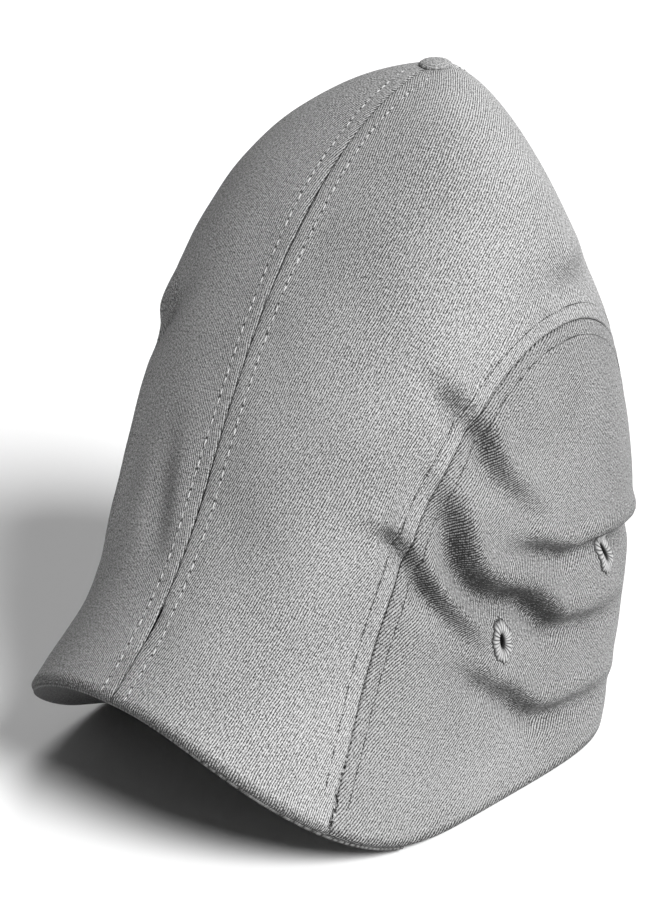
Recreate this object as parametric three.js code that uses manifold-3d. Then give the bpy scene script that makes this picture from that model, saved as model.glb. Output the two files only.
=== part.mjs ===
// A duckbill flat cap in cotton twill: two crown panels joined by a centre seam that runs from
// the bill over the top to the back, an arched side panel let into each side, and the sweatband,
// tapes and bill board that hold it in shape. Millimetres, +Z up, bill towards -Y, wearer's left
// at +X. The cap stands on its rim at z = 0.
import * as THREE from "three";
import { mergeVertices } from "three/addons/utils/BufferGeometryUtils.js";
import Module from "manifold-3d";

// ---- Driving dimensions -------------------------------------------------------------------

// Three ribs of the outer surface, each a Bezier curve from the rim to the crown's top point.
const TOP = 283;
const TOP_Y = 58;
const FRONT_RIB = [[-133, 67], [-64, 126], [-86, 152], [-24, TOP], [TOP_Y, TOP]]; // y, z
const SIDE_RIB = [[92, 0], [61, 91], [141, 192], [52, TOP], [0, TOP]]; // x, z
const BACK_RIB = [[94, 0], [174, 101], [78, 196], [92, TOP], [TOP_Y, TOP]]; // y, z
const WIDEST_Y = [-9, 24, 11, 18, TOP_Y]; // where each level is widest, rim to top
const FRONT_SQUARENESS = { rim: 3.1, fade: 2.5 }; // superellipse power of the front half
const BACK_SQUARENESS = [4.5, 2.4, 2]; // power of the back half, rim to top
const FRONT_RISE = { power: 2, low: 0.6, sharp: 1.3 }; // how the bill's edge arches up in front
const ORIGIN_Y = -4.3; // the middle of the cap's length, which becomes y = 0

// The arched side panel, in the surface's own angle (degrees from the front) and height share.
const ARCH = { middle: 102, halfWidth: 58, height: 0.544, power: 2.2 };

const CLOTH = 1.6; // folded twill at a panel
const SEAM_CLEAR = 0.8; // the crown panel's edge stops this far above the arch seam
const ROW_FALL = 1.15; // crown rows lie closer together towards the rim
const GAP = 0.35; // clear space between touching pieces
const TOP_HOLE = 0.985; // height share where the crown panels stop, under the button
const ON_RIM = 1e-6; // a height share below this is the rim itself
const STITCH = { offset: 6.35, width: 0.9, height: 0.45, lift: 0.8 }; // topstitching by a seam
const CENTRE_ROW = { from: 0.004, to: 0.955 }; // height shares of its two ends
const TAPE = { halfWidth: 5.5, thickness: 0.6, depth: 3.2 };
const FRONT_TAPE = { from: 0.2, to: 0.962 };
const BACK_TAPE = { from: 0.1, to: 0.93 };
const SWEATBAND = {
  height: 34, // of the cloth band
  thickness: 1.2,
  depth: 5.3, // under the outer surface, at the sides and back
  low: 0.012, // height shares of its two edges there
  high: 0.085,
  forehead: -89, // y of the band at the middle of the forehead
  halfWidth: 88,
  squareness: 2.4,
  foot: 1, // height over the rim beside the head
  arch: 70, // how far it rises over the forehead
  archPower: [2.6, 2.3],
  lean: 5, // its upper edge leans back over the forehead
  fade: [50, 78], // angles between which it leaves the free arch for the panels
};
const ELASTIC = { from: 150, to: 210, low: 0.03, high: 0.07, thickness: 0.7, depth: 3.8 };
const BOARD = { thickness: 2, inset: 0.3, end: 0.96, halfAngle: 44 };
const UNDER_BILL = { thickness: 1.4, end: 0.985, halfAngle: 62 };
const EYELET = { outX: 4.7, outZ: 10, holeX: 1.7, holeZ: 4.6, proud: 0.7, clear: 0.5 };
const EYELETS = { front: [88, 0.19], rear: [128.5, 0.22] }; // angle, height share
const BUTTON = { radius: 6.6, height: 1.6, lip: 0.4, shank: 1.5, foot: 2.4 };
const WASHER = { radius: 8, thickness: 0.8, depth: 2 };
const LABEL = { halfAngle: 8, low: 0.25, high: 0.85, thickness: 0.4 };

const TWILL = { color: 0x8f8f8f, roughness: 0.9, metalness: 0 };
const TWILL_UNDER = { color: 0x6f6f6f, roughness: 0.92, metalness: 0 };
const THREAD = { color: 0xb9b9b9, roughness: 0.7, metalness: 0 };
const THREAD_DARK = { color: 0x4a4a4a, roughness: 0.7, metalness: 0 };
const BAND = { color: 0x585858, roughness: 0.95, metalness: 0 };
const BAND_TAPE = { color: 0x3c3c3c, roughness: 0.95, metalness: 0 };
const BOARD_FINISH = { color: 0xd8d4c8, roughness: 0.8, metalness: 0 };
const ELASTIC_FINISH = { color: 0x1f1f1f, roughness: 0.85, metalness: 0 };
const METAL = { color: 0xa9abad, roughness: 0.35, metalness: 1 };

// ---- The outer surface --------------------------------------------------------------------

const radians = THREE.MathUtils.degToRad;
const lerp = THREE.MathUtils.lerp;
const smoothstep = THREE.MathUtils.smoothstep;
const vector = (x, y, z) => new THREE.Vector3(x, y, z);
const mix = (a, b, t) => a.clone().lerp(b, t);

// A Bezier curve's value, by repeated halving of its control numbers (de Casteljau).
function bezier(controls, t) {
  let row = controls;
  while (row.length > 1) row = row.slice(1).map((value, i) => lerp(row[i], value, t));
  return row[0];
}

const rib = (points, t) => [0, 1].map((axis) => bezier(points.map((point) => point[axis]), t));

// A point of the outer surface. angle is 0 at the bill, 90 at the wearer's left and 180 at the
// back; t runs from 0 at the rim to 1 at the top. Each level is half of one superellipse in
// front and half of another behind, both as wide as the side rib.
function outer(angle, t) {
  const cosine = Math.cos(radians(angle));
  const sine = Math.abs(Math.sin(radians(angle)));
  const inFront = cosine > 0;
  const [endY, endZ] = rib(inFront ? FRONT_RIB : BACK_RIB, t);
  const [halfWidth, sideZ] = rib(SIDE_RIB, t);
  const middleY = bezier(WIDEST_Y, t);
  const low = 1 - t;
  const power = inFront
    ? 2 + (FRONT_SQUARENESS.rim - 2) * low ** FRONT_SQUARENESS.fade
    : bezier(BACK_SQUARENESS, t);
  const along = Math.abs(cosine) / Math.abs(endY - middleY);
  const across = sine / halfWidth;
  const radius = (along ** power + across ** power) ** (-1 / power);
  const rise = inFront
    ? (1 - sine ** (FRONT_RISE.power + FRONT_RISE.low * low ** 2)) ** (1 + FRONT_RISE.sharp * low ** 2)
    : cosine ** 2;
  return vector(
    radius * Math.sin(radians(angle)),
    middleY - radius * cosine - ORIGIN_Y,
    sideZ + (endZ - sideZ) * rise,
  );
}

// The unit normal, facing out, from the surface's two tangents.
function normal(angle, t) {
  const step = 0.3;
  const rise = 0.002;
  const low = Math.max(t - rise, 0);
  const high = Math.min(t + rise, TOP_HOLE + rise);
  const around = outer(angle + step, t).sub(outer(angle - step, t));
  const up = outer(angle, high).sub(outer(angle, low));
  return around.cross(up).normalize();
}

// A point a given depth under the outer surface. Along the rim the depth is taken level, so
// that every layer ends on one plane.
function inside(angle, t, depth) {
  const direction = normal(angle, t);
  if (t < ON_RIM) direction.z *= 1 - smoothstep(Math.abs(angle), 45, 75);
  return outer(angle, t).addScaledVector(direction.normalize(), -depth);
}

// The arch seam: a superellipse in angle and height share. turn is 0 at the front foot and 180
// at the back foot, and scale 1 is on the seam.
function archPlace(turn, scale = 1) {
  const across = Math.cos(radians(turn));
  const up = Math.sin(radians(turn));
  const power = ARCH.power;
  const reach = scale * (Math.abs(across) ** power + Math.abs(up) ** power) ** (-1 / power);
  return [ARCH.middle - ARCH.halfWidth * reach * across, ARCH.height * Math.max(reach * up, 0)];
}

// The same seam moved over the surface by a distance in millimetres, outwards where positive.
function archOffset(turn, distance) {
  const nudge = 0.01;
  const here = outer(...archPlace(turn));
  const perScale = outer(...archPlace(turn, 1 + nudge)).distanceTo(here) / nudge;
  return archPlace(turn, 1 + distance / perScale);
}

// ---- Solids from grids --------------------------------------------------------------------

// A closed body from a grid of outer points and a grid of inner points of the same size,
// joined by walls round the edge. With closed set, the grid's last column meets its first.
function shell(outerGrid, innerGrid, closed = false) {
  const columns = outerGrid.length;
  const rows = outerGrid[0].length;
  const positions = [...outerGrid, ...innerGrid].flat().flatMap((point) => point.toArray());
  const front = (i, j) => (i % columns) * rows + j;
  const back = (i, j) => front(i, j) + columns * rows;
  const faces = [];
  const quad = (a, b, c, d) => faces.push(a, b, c, a, c, d);
  const spans = closed ? columns : columns - 1;
  for (let i = 0; i < spans; i++) {
    for (let j = 0; j < rows - 1; j++) {
      quad(front(i, j), front(i + 1, j), front(i + 1, j + 1), front(i, j + 1));
      quad(back(i, j), back(i, j + 1), back(i + 1, j + 1), back(i + 1, j));
    }
    quad(front(i, 0), back(i, 0), back(i + 1, 0), front(i + 1, 0));
    quad(front(i, rows - 1), front(i + 1, rows - 1), back(i + 1, rows - 1), back(i, rows - 1));
  }
  if (!closed) {
    const last = columns - 1;
    for (let j = 0; j < rows - 1; j++) {
      quad(front(0, j), front(0, j + 1), back(0, j + 1), back(0, j));
      quad(front(last, j), back(last, j), back(last, j + 1), front(last, j + 1));
    }
  }
  const geometry = new THREE.BufferGeometry();
  geometry.setAttribute("position", new THREE.Float32BufferAttribute(positions, 3));
  geometry.setIndex(faces);
  return geometry;
}

const range = (count, from, to) =>
  Array.from({ length: count + 1 }, (_, i) => lerp(from, to, i / count));

// A sheet of given depths under the outer surface, over places [angle, t] in a grid.
function layer(places, top, bottom, shift = 0) {
  const at = (depth) =>
    places.map((column) => column.map(([angle, t]) => {
      const point = inside(angle, t, depth);
      point.x += shift;
      return point;
    }));
  return shell(at(top), at(bottom));
}

// Each face of a geometry turned round, so that it points the other way.
function flipFaces(geometry) {
  const index = Array.from(geometry.index.array);
  for (let i = 0; i < index.length; i += 3) {
    [index[i + 1], index[i + 2]] = [index[i + 2], index[i + 1]];
  }
  geometry.setIndex(index);
  return geometry;
}

// The wearer's right copy of a left piece: x turned over, and each face turned back.
function mirrored(geometry) {
  const copy = geometry.clone();
  const position = copy.getAttribute("position");
  for (let i = 0; i < position.count; i++) position.setX(i, -position.getX(i));
  return flipFaces(copy);
}

const wasm = await Module();
wasm.setup();

function toSolid(geometry) {
  const bare = geometry.clone();
  bare.deleteAttribute("normal");
  bare.deleteAttribute("uv");
  const merged = mergeVertices(bare, 1e-3);
  return new wasm.Manifold(new wasm.Mesh({
    numProp: 3,
    vertProperties: merged.attributes.position.array,
    triVerts: new Uint32Array(merged.index.array),
  }));
}

function toGeometry(solid) {
  const mesh = solid.getMesh();
  const geometry = new THREE.BufferGeometry();
  geometry.setAttribute("position", new THREE.Float32BufferAttribute(mesh.vertProperties, 3));
  geometry.setIndex(Array.from(mesh.triVerts));
  return geometry;
}

// ---- The nodes ----------------------------------------------------------------------------

const cap = new THREE.Group();

function add(name, geometry, finish) {
  geometry.computeVertexNormals();
  const mesh = new THREE.Mesh(geometry, new THREE.MeshStandardMaterial(finish));
  mesh.name = name;
  cap.add(mesh);
}

function addPair(name, geometry, finish) {
  add(`left_${name}`, geometry, finish);
  add(`right_${name}`, mirrored(geometry), finish);
}

// A crown panel runs from the front seam to the back seam. Its lower edge follows the rim, then
// steps over the arch, then follows the rim again to the back.
function crownPanel() {
  const foot = ARCH.middle - ARCH.halfWidth;
  const heel = ARCH.middle + ARCH.halfWidth;
  const firstTurn = 2;
  const lastTurn = 178;
  const frontFoot = archOffset(firstTurn, SEAM_CLEAR)[0];
  const backFoot = archOffset(lastTurn, SEAM_CLEAR)[0];
  const columns = [
    ...range(8, 0, frontFoot).slice(0, -1).map((angle) => ({ low: [angle, 0], top: angle })),
    ...range(18, firstTurn, lastTurn).map((turn) => {
      const [angle, t] = archOffset(turn, SEAM_CLEAR);
      const grounded = turn === firstTurn || turn === lastTurn;
      return { low: [angle, grounded ? 0 : t], top: lerp(foot, heel, turn / 180) };
    }),
    ...range(3, backFoot, 180).slice(1).map((angle) => ({ low: [angle, 0], top: angle })),
  ];
  const rows = range(19, 0, 1);
  const places = columns.map(({ low, top }) =>
    rows.map((v) => [lerp(low[0], top, v), lerp(low[1], TOP_HOLE, v ** ROW_FALL)]));
  return layer(places, 0, CLOTH, GAP);
}

// A side panel fills the arch. A square grid is mapped to a half disc, whose rim is the seam.
function sidePanel() {
  const rows = range(9, 0, 1);
  const places = range(16, -1, 1).map((a) => rows.map((b) => {
    const across = a * Math.sqrt(1 - (b * b) / 2);
    const up = b * Math.sqrt(1 - (a * a) / 2);
    const turn = THREE.MathUtils.radToDeg(Math.atan2(up, -across));
    return archPlace(turn, Math.min(Math.hypot(across, up), 1));
  }));
  return layer(places, 0, CLOTH, GAP);
}

// An oval prism that stands on the surface at a place, for an eyelet's hole or its thread ring.
function ovalFrame([angle, t]) {
  const centre = outer(angle, t);
  centre.x += GAP;
  const out = normal(angle, t);
  const side = vector(0, 0, 1).cross(out).normalize();
  const up = out.clone().cross(side);
  return (x, z, depth) =>
    centre.clone().addScaledVector(side, x).addScaledVector(up, z).addScaledVector(out, -depth);
}

function oval(place, halfX, halfZ, near, far, count) {
  const at = ovalFrame(place);
  const section = [near, far].map((depth) => range(count, 0, 360).slice(0, -1).map((turn) =>
    at(halfX * Math.cos(radians(turn)), halfZ * Math.sin(radians(turn)), depth)));
  const positions = [at(0, 0, near), at(0, 0, far), ...section[0], ...section[1]];
  const faces = [];
  for (let i = 0; i < count; i++) {
    const [a, b] = [2 + i, 2 + ((i + 1) % count)];
    faces.push(0, a, b, 1, b + count, a + count, a, a + count, b + count, a, b + count, b);
  }
  const geometry = new THREE.BufferGeometry();
  const flat = positions.flatMap((point) => point.toArray());
  geometry.setAttribute("position", new THREE.Float32BufferAttribute(flat, 3));
  geometry.setIndex(faces);
  return geometry;
}

// The worked thread ring of an eyelet: a rounded section carried round two ovals.
function eyelet(place) {
  const at = ovalFrame(place);
  const under = CLOTH + EYELET.proud;
  const section = [
    [0, under], [0, 0], [0.25, -EYELET.proud], [0.75, -EYELET.proud], [1, 0], [1, under],
  ];
  const ring = range(20, 0, 360).slice(0, -1).map((turn) => section.map(([share, depth]) => at(
    lerp(EYELET.holeX, EYELET.outX, share) * Math.cos(radians(turn)),
    lerp(EYELET.holeZ, EYELET.outZ, share) * Math.sin(radians(turn)),
    depth,
  )));
  return toGeometry(toSolid(loop(ring)));
}

// A closed ring: each entry is a closed section, and the last section joins the first.
function loop(sections) {
  const size = sections[0].length;
  const positions = sections.flat().flatMap((point) => point.toArray());
  const faces = [];
  sections.forEach((_, i) => {
    const next = (i + 1) % sections.length;
    for (let j = 0; j < size; j++) {
      const up = (j + 1) % size;
      const [a, b, c, d] = [i * size + j, i * size + up, next * size + up, next * size + j];
      faces.push(a, b, c, a, c, d);
    }
  });
  const geometry = new THREE.BufferGeometry();
  geometry.setAttribute("position", new THREE.Float32BufferAttribute(positions, 3));
  geometry.setIndex(faces);
  return geometry;
}

function sidePanelWithHoles() {
  const above = -6;
  const below = 8;
  return Object.values(EYELETS).reduce((solid, place) => {
    const halfX = EYELET.outX + EYELET.clear;
    const halfZ = EYELET.outZ + EYELET.clear;
    return solid.subtract(toSolid(oval(place, halfX, halfZ, above, below, 24)));
  }, toSolid(sidePanel()));
}

// A thread row: a thin strip just above the cloth, along places [angle, t].
function threadRow(places, shift) {
  const half = STITCH.width / 2;
  const centres = places.map(([angle, t]) => inside(angle, t, -STITCH.lift));
  const across = centres.map((point, i) => {
    const before = centres[Math.max(i - 1, 0)];
    const after = centres[Math.min(i + 1, centres.length - 1)];
    const along = after.clone().sub(before).normalize();
    return along.cross(normal(...places[i])).normalize();
  });
  const edge = (side, height) => centres.map((point, i) => {
    const at = point.clone().addScaledVector(across[i], side * half);
    at.addScaledVector(normal(...places[i]), height);
    at.x += shift;
    return at;
  });
  const columns = (height) => edge(-1, height).map((point, i) => [point, edge(1, height)[i]]);
  return outward(shell(columns(STITCH.height), columns(0)));
}

// Turns a body's faces round if they point in.
function outward(geometry) {
  const position = geometry.getAttribute("position");
  const index = geometry.index.array;
  let volume = 0;
  const corner = (i) => vector().fromBufferAttribute(position, index[i]);
  for (let i = 0; i < index.length; i += 3) {
    volume += corner(i).dot(corner(i + 1).cross(corner(i + 2)));
  }
  return volume > 0 ? geometry : flipFaces(geometry);
}

// Where the surface is a given distance sideways from the centre seam, at height share t.
function besideSeam(t, distance, backwards) {
  const nudge = backwards ? -1 : 1;
  const seam = backwards ? 180 : 0;
  const perDegree = outer(seam + nudge, t).distanceTo(outer(seam, t));
  return [seam + (nudge * distance) / perDegree, t];
}

function centreStitches() {
  const heights = range(30, CENTRE_ROW.from, CENTRE_ROW.to);
  return threadRow(heights.map((t) => besideSeam(t, STITCH.offset, false)), GAP);
}

const archStitches = (distance) =>
  threadRow(range(30, 4, 176).map((turn) => archOffset(turn, distance)), GAP);

// A tape over the inside of the centre seam, from above the sweatband to near the top.
function centreTape(backwards, { from, to }) {
  const places = range(2, -1, 1).map((share) =>
    range(16, from, to).map((t) => besideSeam(t, share * TAPE.halfWidth, backwards)));
  return outward(layer(places, TAPE.depth, TAPE.depth + TAPE.thickness));
}

function archTape() {
  const places = range(30, 14, 166).map((turn) =>
    [-1, 0, 1].map((side) => archOffset(turn, side * TAPE.halfWidth)));
  return outward(layer(places, TAPE.depth, TAPE.depth + TAPE.thickness));
}

// The sweatband stands on the head opening. Beside and behind the head it lies on the panels;
// across the forehead it leaves them and arches over, behind the bill.
function bandPoint(angle, share, depth) {
  const size = SWEATBAND;
  const turned = angle > 180 ? angle - 360 : angle;
  const sine = Math.abs(Math.sin(radians(turned)));
  const cosine = Math.cos(radians(turned));
  const wall = inside(turned, lerp(size.low, size.high, share), size.depth + depth);
  if (cosine <= 0) return wall;
  const along = cosine / (WIDEST_Y[0] - size.forehead);
  const across = sine / size.halfWidth;
  const power = size.squareness;
  const reach = (along ** power + across ** power) ** (-1 / power) - depth;
  const rise = (1 - sine ** size.archPower[0]) ** size.archPower[1];
  const free = vector(
    reach * Math.sin(radians(turned)),
    WIDEST_Y[0] - reach * cosine + size.lean * share * cosine - ORIGIN_Y,
    size.foot + size.arch * rise + size.height * share,
  );
  return mix(free, wall, smoothstep(Math.abs(turned), ...size.fade));
}

function sweatband() {
  const columns = range(60, 0, 360).slice(0, -1);
  const grid = (depth) =>
    columns.map((angle) => [0, 0.5, 1].map((share) => bandPoint(angle, share, depth)));
  return outward(shell(grid(0), grid(SWEATBAND.thickness), true));
}

// A small sheet on the sweatband's inner face at the back.
function sizeLabel() {
  const columns = range(4, 180 - LABEL.halfAngle, 180 + LABEL.halfAngle);
  const near = SWEATBAND.thickness + GAP;
  const grid = (depth) =>
    columns.map((angle) => [LABEL.low, LABEL.high].map((share) => bandPoint(angle, share, depth)));
  return outward(shell(grid(near), grid(near + LABEL.thickness)));
}

function backElastic() {
  const places = range(16, ELASTIC.from, ELASTIC.to).map((angle) =>
    [ELASTIC.low, ELASTIC.high].map((t) => [angle, t]));
  return outward(layer(places, ELASTIC.depth, ELASTIC.depth + ELASTIC.thickness));
}

// A point of the bill's underside: from just inside the rim, at share 0, to the sweatband.
function billPoint(angle, share) {
  const rim = inside(angle, 0, CLOTH + GAP);
  const head = bandPoint(angle, 0, -2 * GAP);
  return mix(rim, head, share);
}

// A sheet parallel to the bill's underside, from one height above it to another.
function billSheet(halfAngle, from, to, low, high, columns) {
  const grid = (height) => range(columns, -halfAngle, halfAngle).map((angle) =>
    range(4, from, to).map((share) => {
      const turn = 0.5;
      const step = 0.02;
      const around = billPoint(angle + turn, share).sub(billPoint(angle - turn, share));
      const back = billPoint(angle, share + step).sub(billPoint(angle, share - step));
      const up = around.cross(back).normalize();
      return billPoint(angle, share).addScaledVector(up, height);
    }));
  return outward(shell(grid(high), grid(low)));
}

const underBill = () =>
  billSheet(UNDER_BILL.halfAngle, 0, UNDER_BILL.end, -UNDER_BILL.thickness, 0, 24);

const billBoard = () =>
  billSheet(BOARD.halfAngle, BOARD.inset, BOARD.end, GAP, GAP + BOARD.thickness, 18);

// The covered button: a low dome on a shank that drops through the hole at the crown's top.
function button() {
  const base = TOP + GAP;
  const lip = base + BUTTON.lip;
  const foot = TOP - CLOTH - BUTTON.foot;
  const profile = [
    [0, foot], [BUTTON.shank, foot], [BUTTON.shank, base], [BUTTON.radius - 0.5, base],
    [BUTTON.radius, lip],
    ...[20, 40, 60, 75].map((turn) => [
      BUTTON.radius * Math.cos(radians(turn)),
      lip + (BUTTON.height - BUTTON.lip) * Math.sin(radians(turn)),
    ]),
    [0, base + BUTTON.height],
  ];
  return placedLathe(profile);
}

// The washer that the shank is clenched over, under the crown.
function washer() {
  const hole = BUTTON.shank + GAP;
  const top = TOP - CLOTH - WASHER.depth;
  const bottom = top - WASHER.thickness;
  const profile = [
    [hole, bottom], [WASHER.radius, bottom], [WASHER.radius, top], [hole, top], [hole, bottom],
  ];
  return placedLathe(profile);
}

// A turned body about the crown's top hole. The profile is (radius, height).
function placedLathe(profile) {
  const segments = 20;
  const points = profile.map(([radius, height]) => new THREE.Vector2(radius, height));
  const holeMiddle = (outer(0, TOP_HOLE).y + outer(180, TOP_HOLE).y) / 2;
  const geometry = new THREE.LatheGeometry(points, segments);
  geometry.rotateX(Math.PI / 2);
  geometry.translate(0, holeMiddle, 0);
  return toGeometry(toSolid(geometry));
}

addPair("crown_panel", crownPanel(), TWILL);
addPair("side_panel", toGeometry(sidePanelWithHoles()), TWILL);
addPair("centre_stitch_row", centreStitches(), THREAD);
addPair("arch_stitch_row_upper", archStitches(STITCH.offset), THREAD_DARK);
addPair("arch_stitch_row_lower", archStitches(-STITCH.offset), THREAD_DARK);
for (const [where, place] of Object.entries(EYELETS)) {
  addPair(`${where}_eyelet`, eyelet(place), THREAD);
}
add("under_bill_panel", underBill(), TWILL_UNDER);
add("bill_board", billBoard(), BOARD_FINISH);
add("sweatband", sweatband(), BAND);
add("back_elastic", backElastic(), ELASTIC_FINISH);
add("front_seam_tape", centreTape(false, FRONT_TAPE), BAND_TAPE);
add("back_seam_tape", centreTape(true, BACK_TAPE), BAND_TAPE);
addPair("arch_seam_tape", archTape(), BAND_TAPE);
add("size_label", sizeLabel(), TWILL_UNDER);
add("crown_button", button(), TWILL);
add("button_washer", washer(), METAL);

export default cap;
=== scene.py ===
"""Looks of the duckbill flat cap: twill panels with creases, seams, topstitching, worked eyelets,
covered button, and the inside's band, tapes, elastic and label. Metres, +Z up, bill towards -Y,
wearer's left at +X."""
import math

import bmesh
import bpy
import numpy as np
from bpy.props import FloatProperty, FloatVectorProperty, PointerProperty
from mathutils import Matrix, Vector


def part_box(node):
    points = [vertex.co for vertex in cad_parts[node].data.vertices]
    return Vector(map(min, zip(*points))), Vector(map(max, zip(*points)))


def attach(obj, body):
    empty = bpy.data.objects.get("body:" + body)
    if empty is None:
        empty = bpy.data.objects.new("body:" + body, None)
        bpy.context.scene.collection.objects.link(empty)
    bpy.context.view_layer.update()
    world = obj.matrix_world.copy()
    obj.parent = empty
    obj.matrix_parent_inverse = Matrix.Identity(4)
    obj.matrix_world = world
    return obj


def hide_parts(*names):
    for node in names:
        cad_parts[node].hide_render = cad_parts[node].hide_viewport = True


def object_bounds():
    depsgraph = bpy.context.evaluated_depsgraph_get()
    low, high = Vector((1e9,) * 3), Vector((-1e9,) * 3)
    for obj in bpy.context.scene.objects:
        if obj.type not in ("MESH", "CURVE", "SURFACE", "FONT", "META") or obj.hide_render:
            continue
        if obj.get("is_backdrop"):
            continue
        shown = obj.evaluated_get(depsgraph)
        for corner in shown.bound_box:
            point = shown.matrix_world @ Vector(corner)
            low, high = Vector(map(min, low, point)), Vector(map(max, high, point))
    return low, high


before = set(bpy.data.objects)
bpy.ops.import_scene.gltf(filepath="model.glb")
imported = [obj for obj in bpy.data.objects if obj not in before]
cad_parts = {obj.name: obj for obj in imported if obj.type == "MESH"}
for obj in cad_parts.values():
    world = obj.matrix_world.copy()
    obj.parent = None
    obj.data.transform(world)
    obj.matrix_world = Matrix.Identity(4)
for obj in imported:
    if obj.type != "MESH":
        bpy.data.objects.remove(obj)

bl_info = {
    "name": "Duckbill Flat Cap",
    "version": (1, 0, 0),
    "blender": (4, 5, 0),
    "location": "View3D > Sidebar > Cap",
    "description": "Builds a twill duckbill flat cap with its seams, stitches, eyelets and inside",
    "category": "Object",
}

MM = 0.001
LEFT, RIGHT = 1, -1
SIDES = ((LEFT, "left"), (RIGHT, "right"))

# ---- The cap's form, in millimetres: the same ribs as the solid model ----------------------

TOP, TOP_Y = 283, 58
FRONT_RIB = ((-133, 67), (-64, 126), (-86, 152), (-24, TOP), (TOP_Y, TOP))  # y, z
SIDE_RIB = ((92, 0), (61, 91), (141, 192), (52, TOP), (0, TOP))  # x, z
BACK_RIB = ((94, 0), (174, 101), (78, 196), (92, TOP), (TOP_Y, TOP))  # y, z
WIDEST_Y = (-9, 24, 11, 18, TOP_Y)
FRONT_SQUARENESS = 3.1
FRONT_FADE = 2.5
BACK_SQUARENESS = (4.5, 2.4, 2)
ORIGIN_Y = -4.3
ARCH_MIDDLE, ARCH_HALF_WIDTH, ARCH_HEIGHT, ARCH_POWER = 102, 58, 0.544, 2.2
TOP_HOLE = 0.985
PANEL_GAP = 0.12
BAND = {
    "height": 34, "thickness": 1.2, "depth": 5.3, "low": 0.012, "high": 0.085,
    "forehead": -89, "half_width": 88, "squareness": 2.4, "foot": 1, "arch": 70,
    "arch_power": (2.6, 2.3), "lean": 5, "fade": (50, 78),
}
EYELETS = {"front": (88, 0.19), "rear": (128.5, 0.22)}  # angle, height share
EYELET_LEAN = math.radians(15)  # the top towards the bill

# Creases that run along a line of (angle, height share) points on one side: depth and half width
# in millimetres, and how tall the ridge above the valley is as a share of its depth.
LEFT_CREASES = (
    (((46, 0.352), (50, 0.345), (54, 0.323), (60, 0.283), (68, 0.245), (78, 0.205)), 3, 5, 0.3),
    (((61, 0.4), (66, 0.36), (71, 0.302), (81, 0.263), (97, 0.23), (110, 0.182), (118, 0.168),
      (136, 0.145)), 4.2, 7, 0.35),
    (((61, 0.525), (66, 0.495), (73, 0.455), (78, 0.408), (93, 0.345)), 2.6, 6, 0.3),
    (((90, 0.305), (98, 0.29), (111, 0.263), (119, 0.258), (137, 0.235), (150, 0.222)), 3.4, 6, 0.35),
    (((76, 0.175), (83, 0.152), (96, 0.118), (105, 0.088), (114, 0.075), (123, 0.068), (138, 0.054)),
     3, 6, 0.3),
    (((150, 0.5), (158, 0.42), (162, 0.33)), 2, 8, 0.4),
    (((100, 0.62), (116, 0.6), (134, 0.585)), 1.2, 9, 0.35),
)
RIGHT_CREASES = (
    (((47, 0.35), (56, 0.31), (64, 0.262), (76, 0.215)), 2.8, 5, 0.3),
    (((64, 0.41), (74, 0.33), (86, 0.28), (100, 0.235), (116, 0.19), (133, 0.168)), 4, 7, 0.35),
    (((64, 0.52), (76, 0.44), (90, 0.37), (101, 0.345)), 2.4, 6, 0.3),
    (((94, 0.312), (112, 0.272), (128, 0.252), (146, 0.232)), 3.2, 6, 0.35),
    (((80, 0.165), (98, 0.112), (112, 0.08), (132, 0.062)), 2.8, 6, 0.3),
    (((4, 0.2), (9, 0.3), (14, 0.39)), 1.1, 9, 0.3),
    (((34, 0.18), (38, 0.3), (44, 0.4)), 2.2, 9, 0.4),
    (((48, 0.56), (54, 0.5), (62, 0.46)), 2.2, 8, 0.5),
    (((148, 0.48), (156, 0.4), (163, 0.31)), 2.4, 7, 0.4),
)

DARKEST_DEPTH = 4  # a crease this deep gets the full painted shade in its valley

# How a panel's cloth dips into a seam and turns under at a hem: distance in, lift out.
SEAM_DISTANCE = (0, 0.3, 0.7, 1.2, 2, 3.2, 4.8, 6.35, 8, 10, 12)
SEAM_LIFT = (-0.6, -0.14, 0.02, 0.08, 0.14, 0.18, 0.12, -0.1, 0.04, 0, 0)
HEM_LIFT = (-2.2, -1.3, -0.75, -0.35, -0.1, 0, 0, 0, 0, 0, 0)


def bezier(controls, t):
    """Repeated halving of the control numbers (de Casteljau) at each share t."""
    row = [np.full_like(t, c) for c in controls]
    while len(row) > 1:
        row = [a + (b - a) * t for a, b in zip(row, row[1:])]
    return row[0]


def rib(points, t):
    """A rib's two coordinates at each height share."""
    return [bezier([point[axis] for point in points], t) for axis in (0, 1)]


def outer(angle, t):
    """The cap's outer surface. Each level is half of one superellipse in front and half of
    another behind, as wide as the side rib; its height rises from the side rib's to the front
    or back rib's. angle is 0 at the bill, 90 at the wearer's left and 180 at the back."""
    angle, t = np.broadcast_arrays(np.asarray(angle, float), np.asarray(t, float))
    cosine, signed = np.cos(np.radians(angle)), np.sin(np.radians(angle))
    sine = np.abs(signed)
    front = cosine > 0
    front_y, front_z = rib(FRONT_RIB, t)
    back_y, back_z = rib(BACK_RIB, t)
    half_width, side_z = rib(SIDE_RIB, t)
    middle = bezier(WIDEST_Y, t)
    low = np.clip(1 - t, 0, None)
    power = np.where(front, 2 + (FRONT_SQUARENESS - 2) * low**FRONT_FADE, bezier(BACK_SQUARENESS, t))
    along = np.abs(cosine) / np.abs(np.where(front, front_y, back_y) - middle)
    radius = (along**power + (sine / half_width) ** power) ** (-1 / power)
    rise = np.where(front, np.clip(1 - sine ** (2 + 0.6 * low**2), 0, 1) ** (1 + 1.3 * low**2), cosine**2)
    z = side_z + (np.where(front, front_z, back_z) - side_z) * rise
    return np.stack([radius * signed, middle - radius * cosine - ORIGIN_Y, z], -1)


def unit(vectors):
    return vectors / np.maximum(np.linalg.norm(vectors, axis=-1, keepdims=True), 1e-12)


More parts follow.
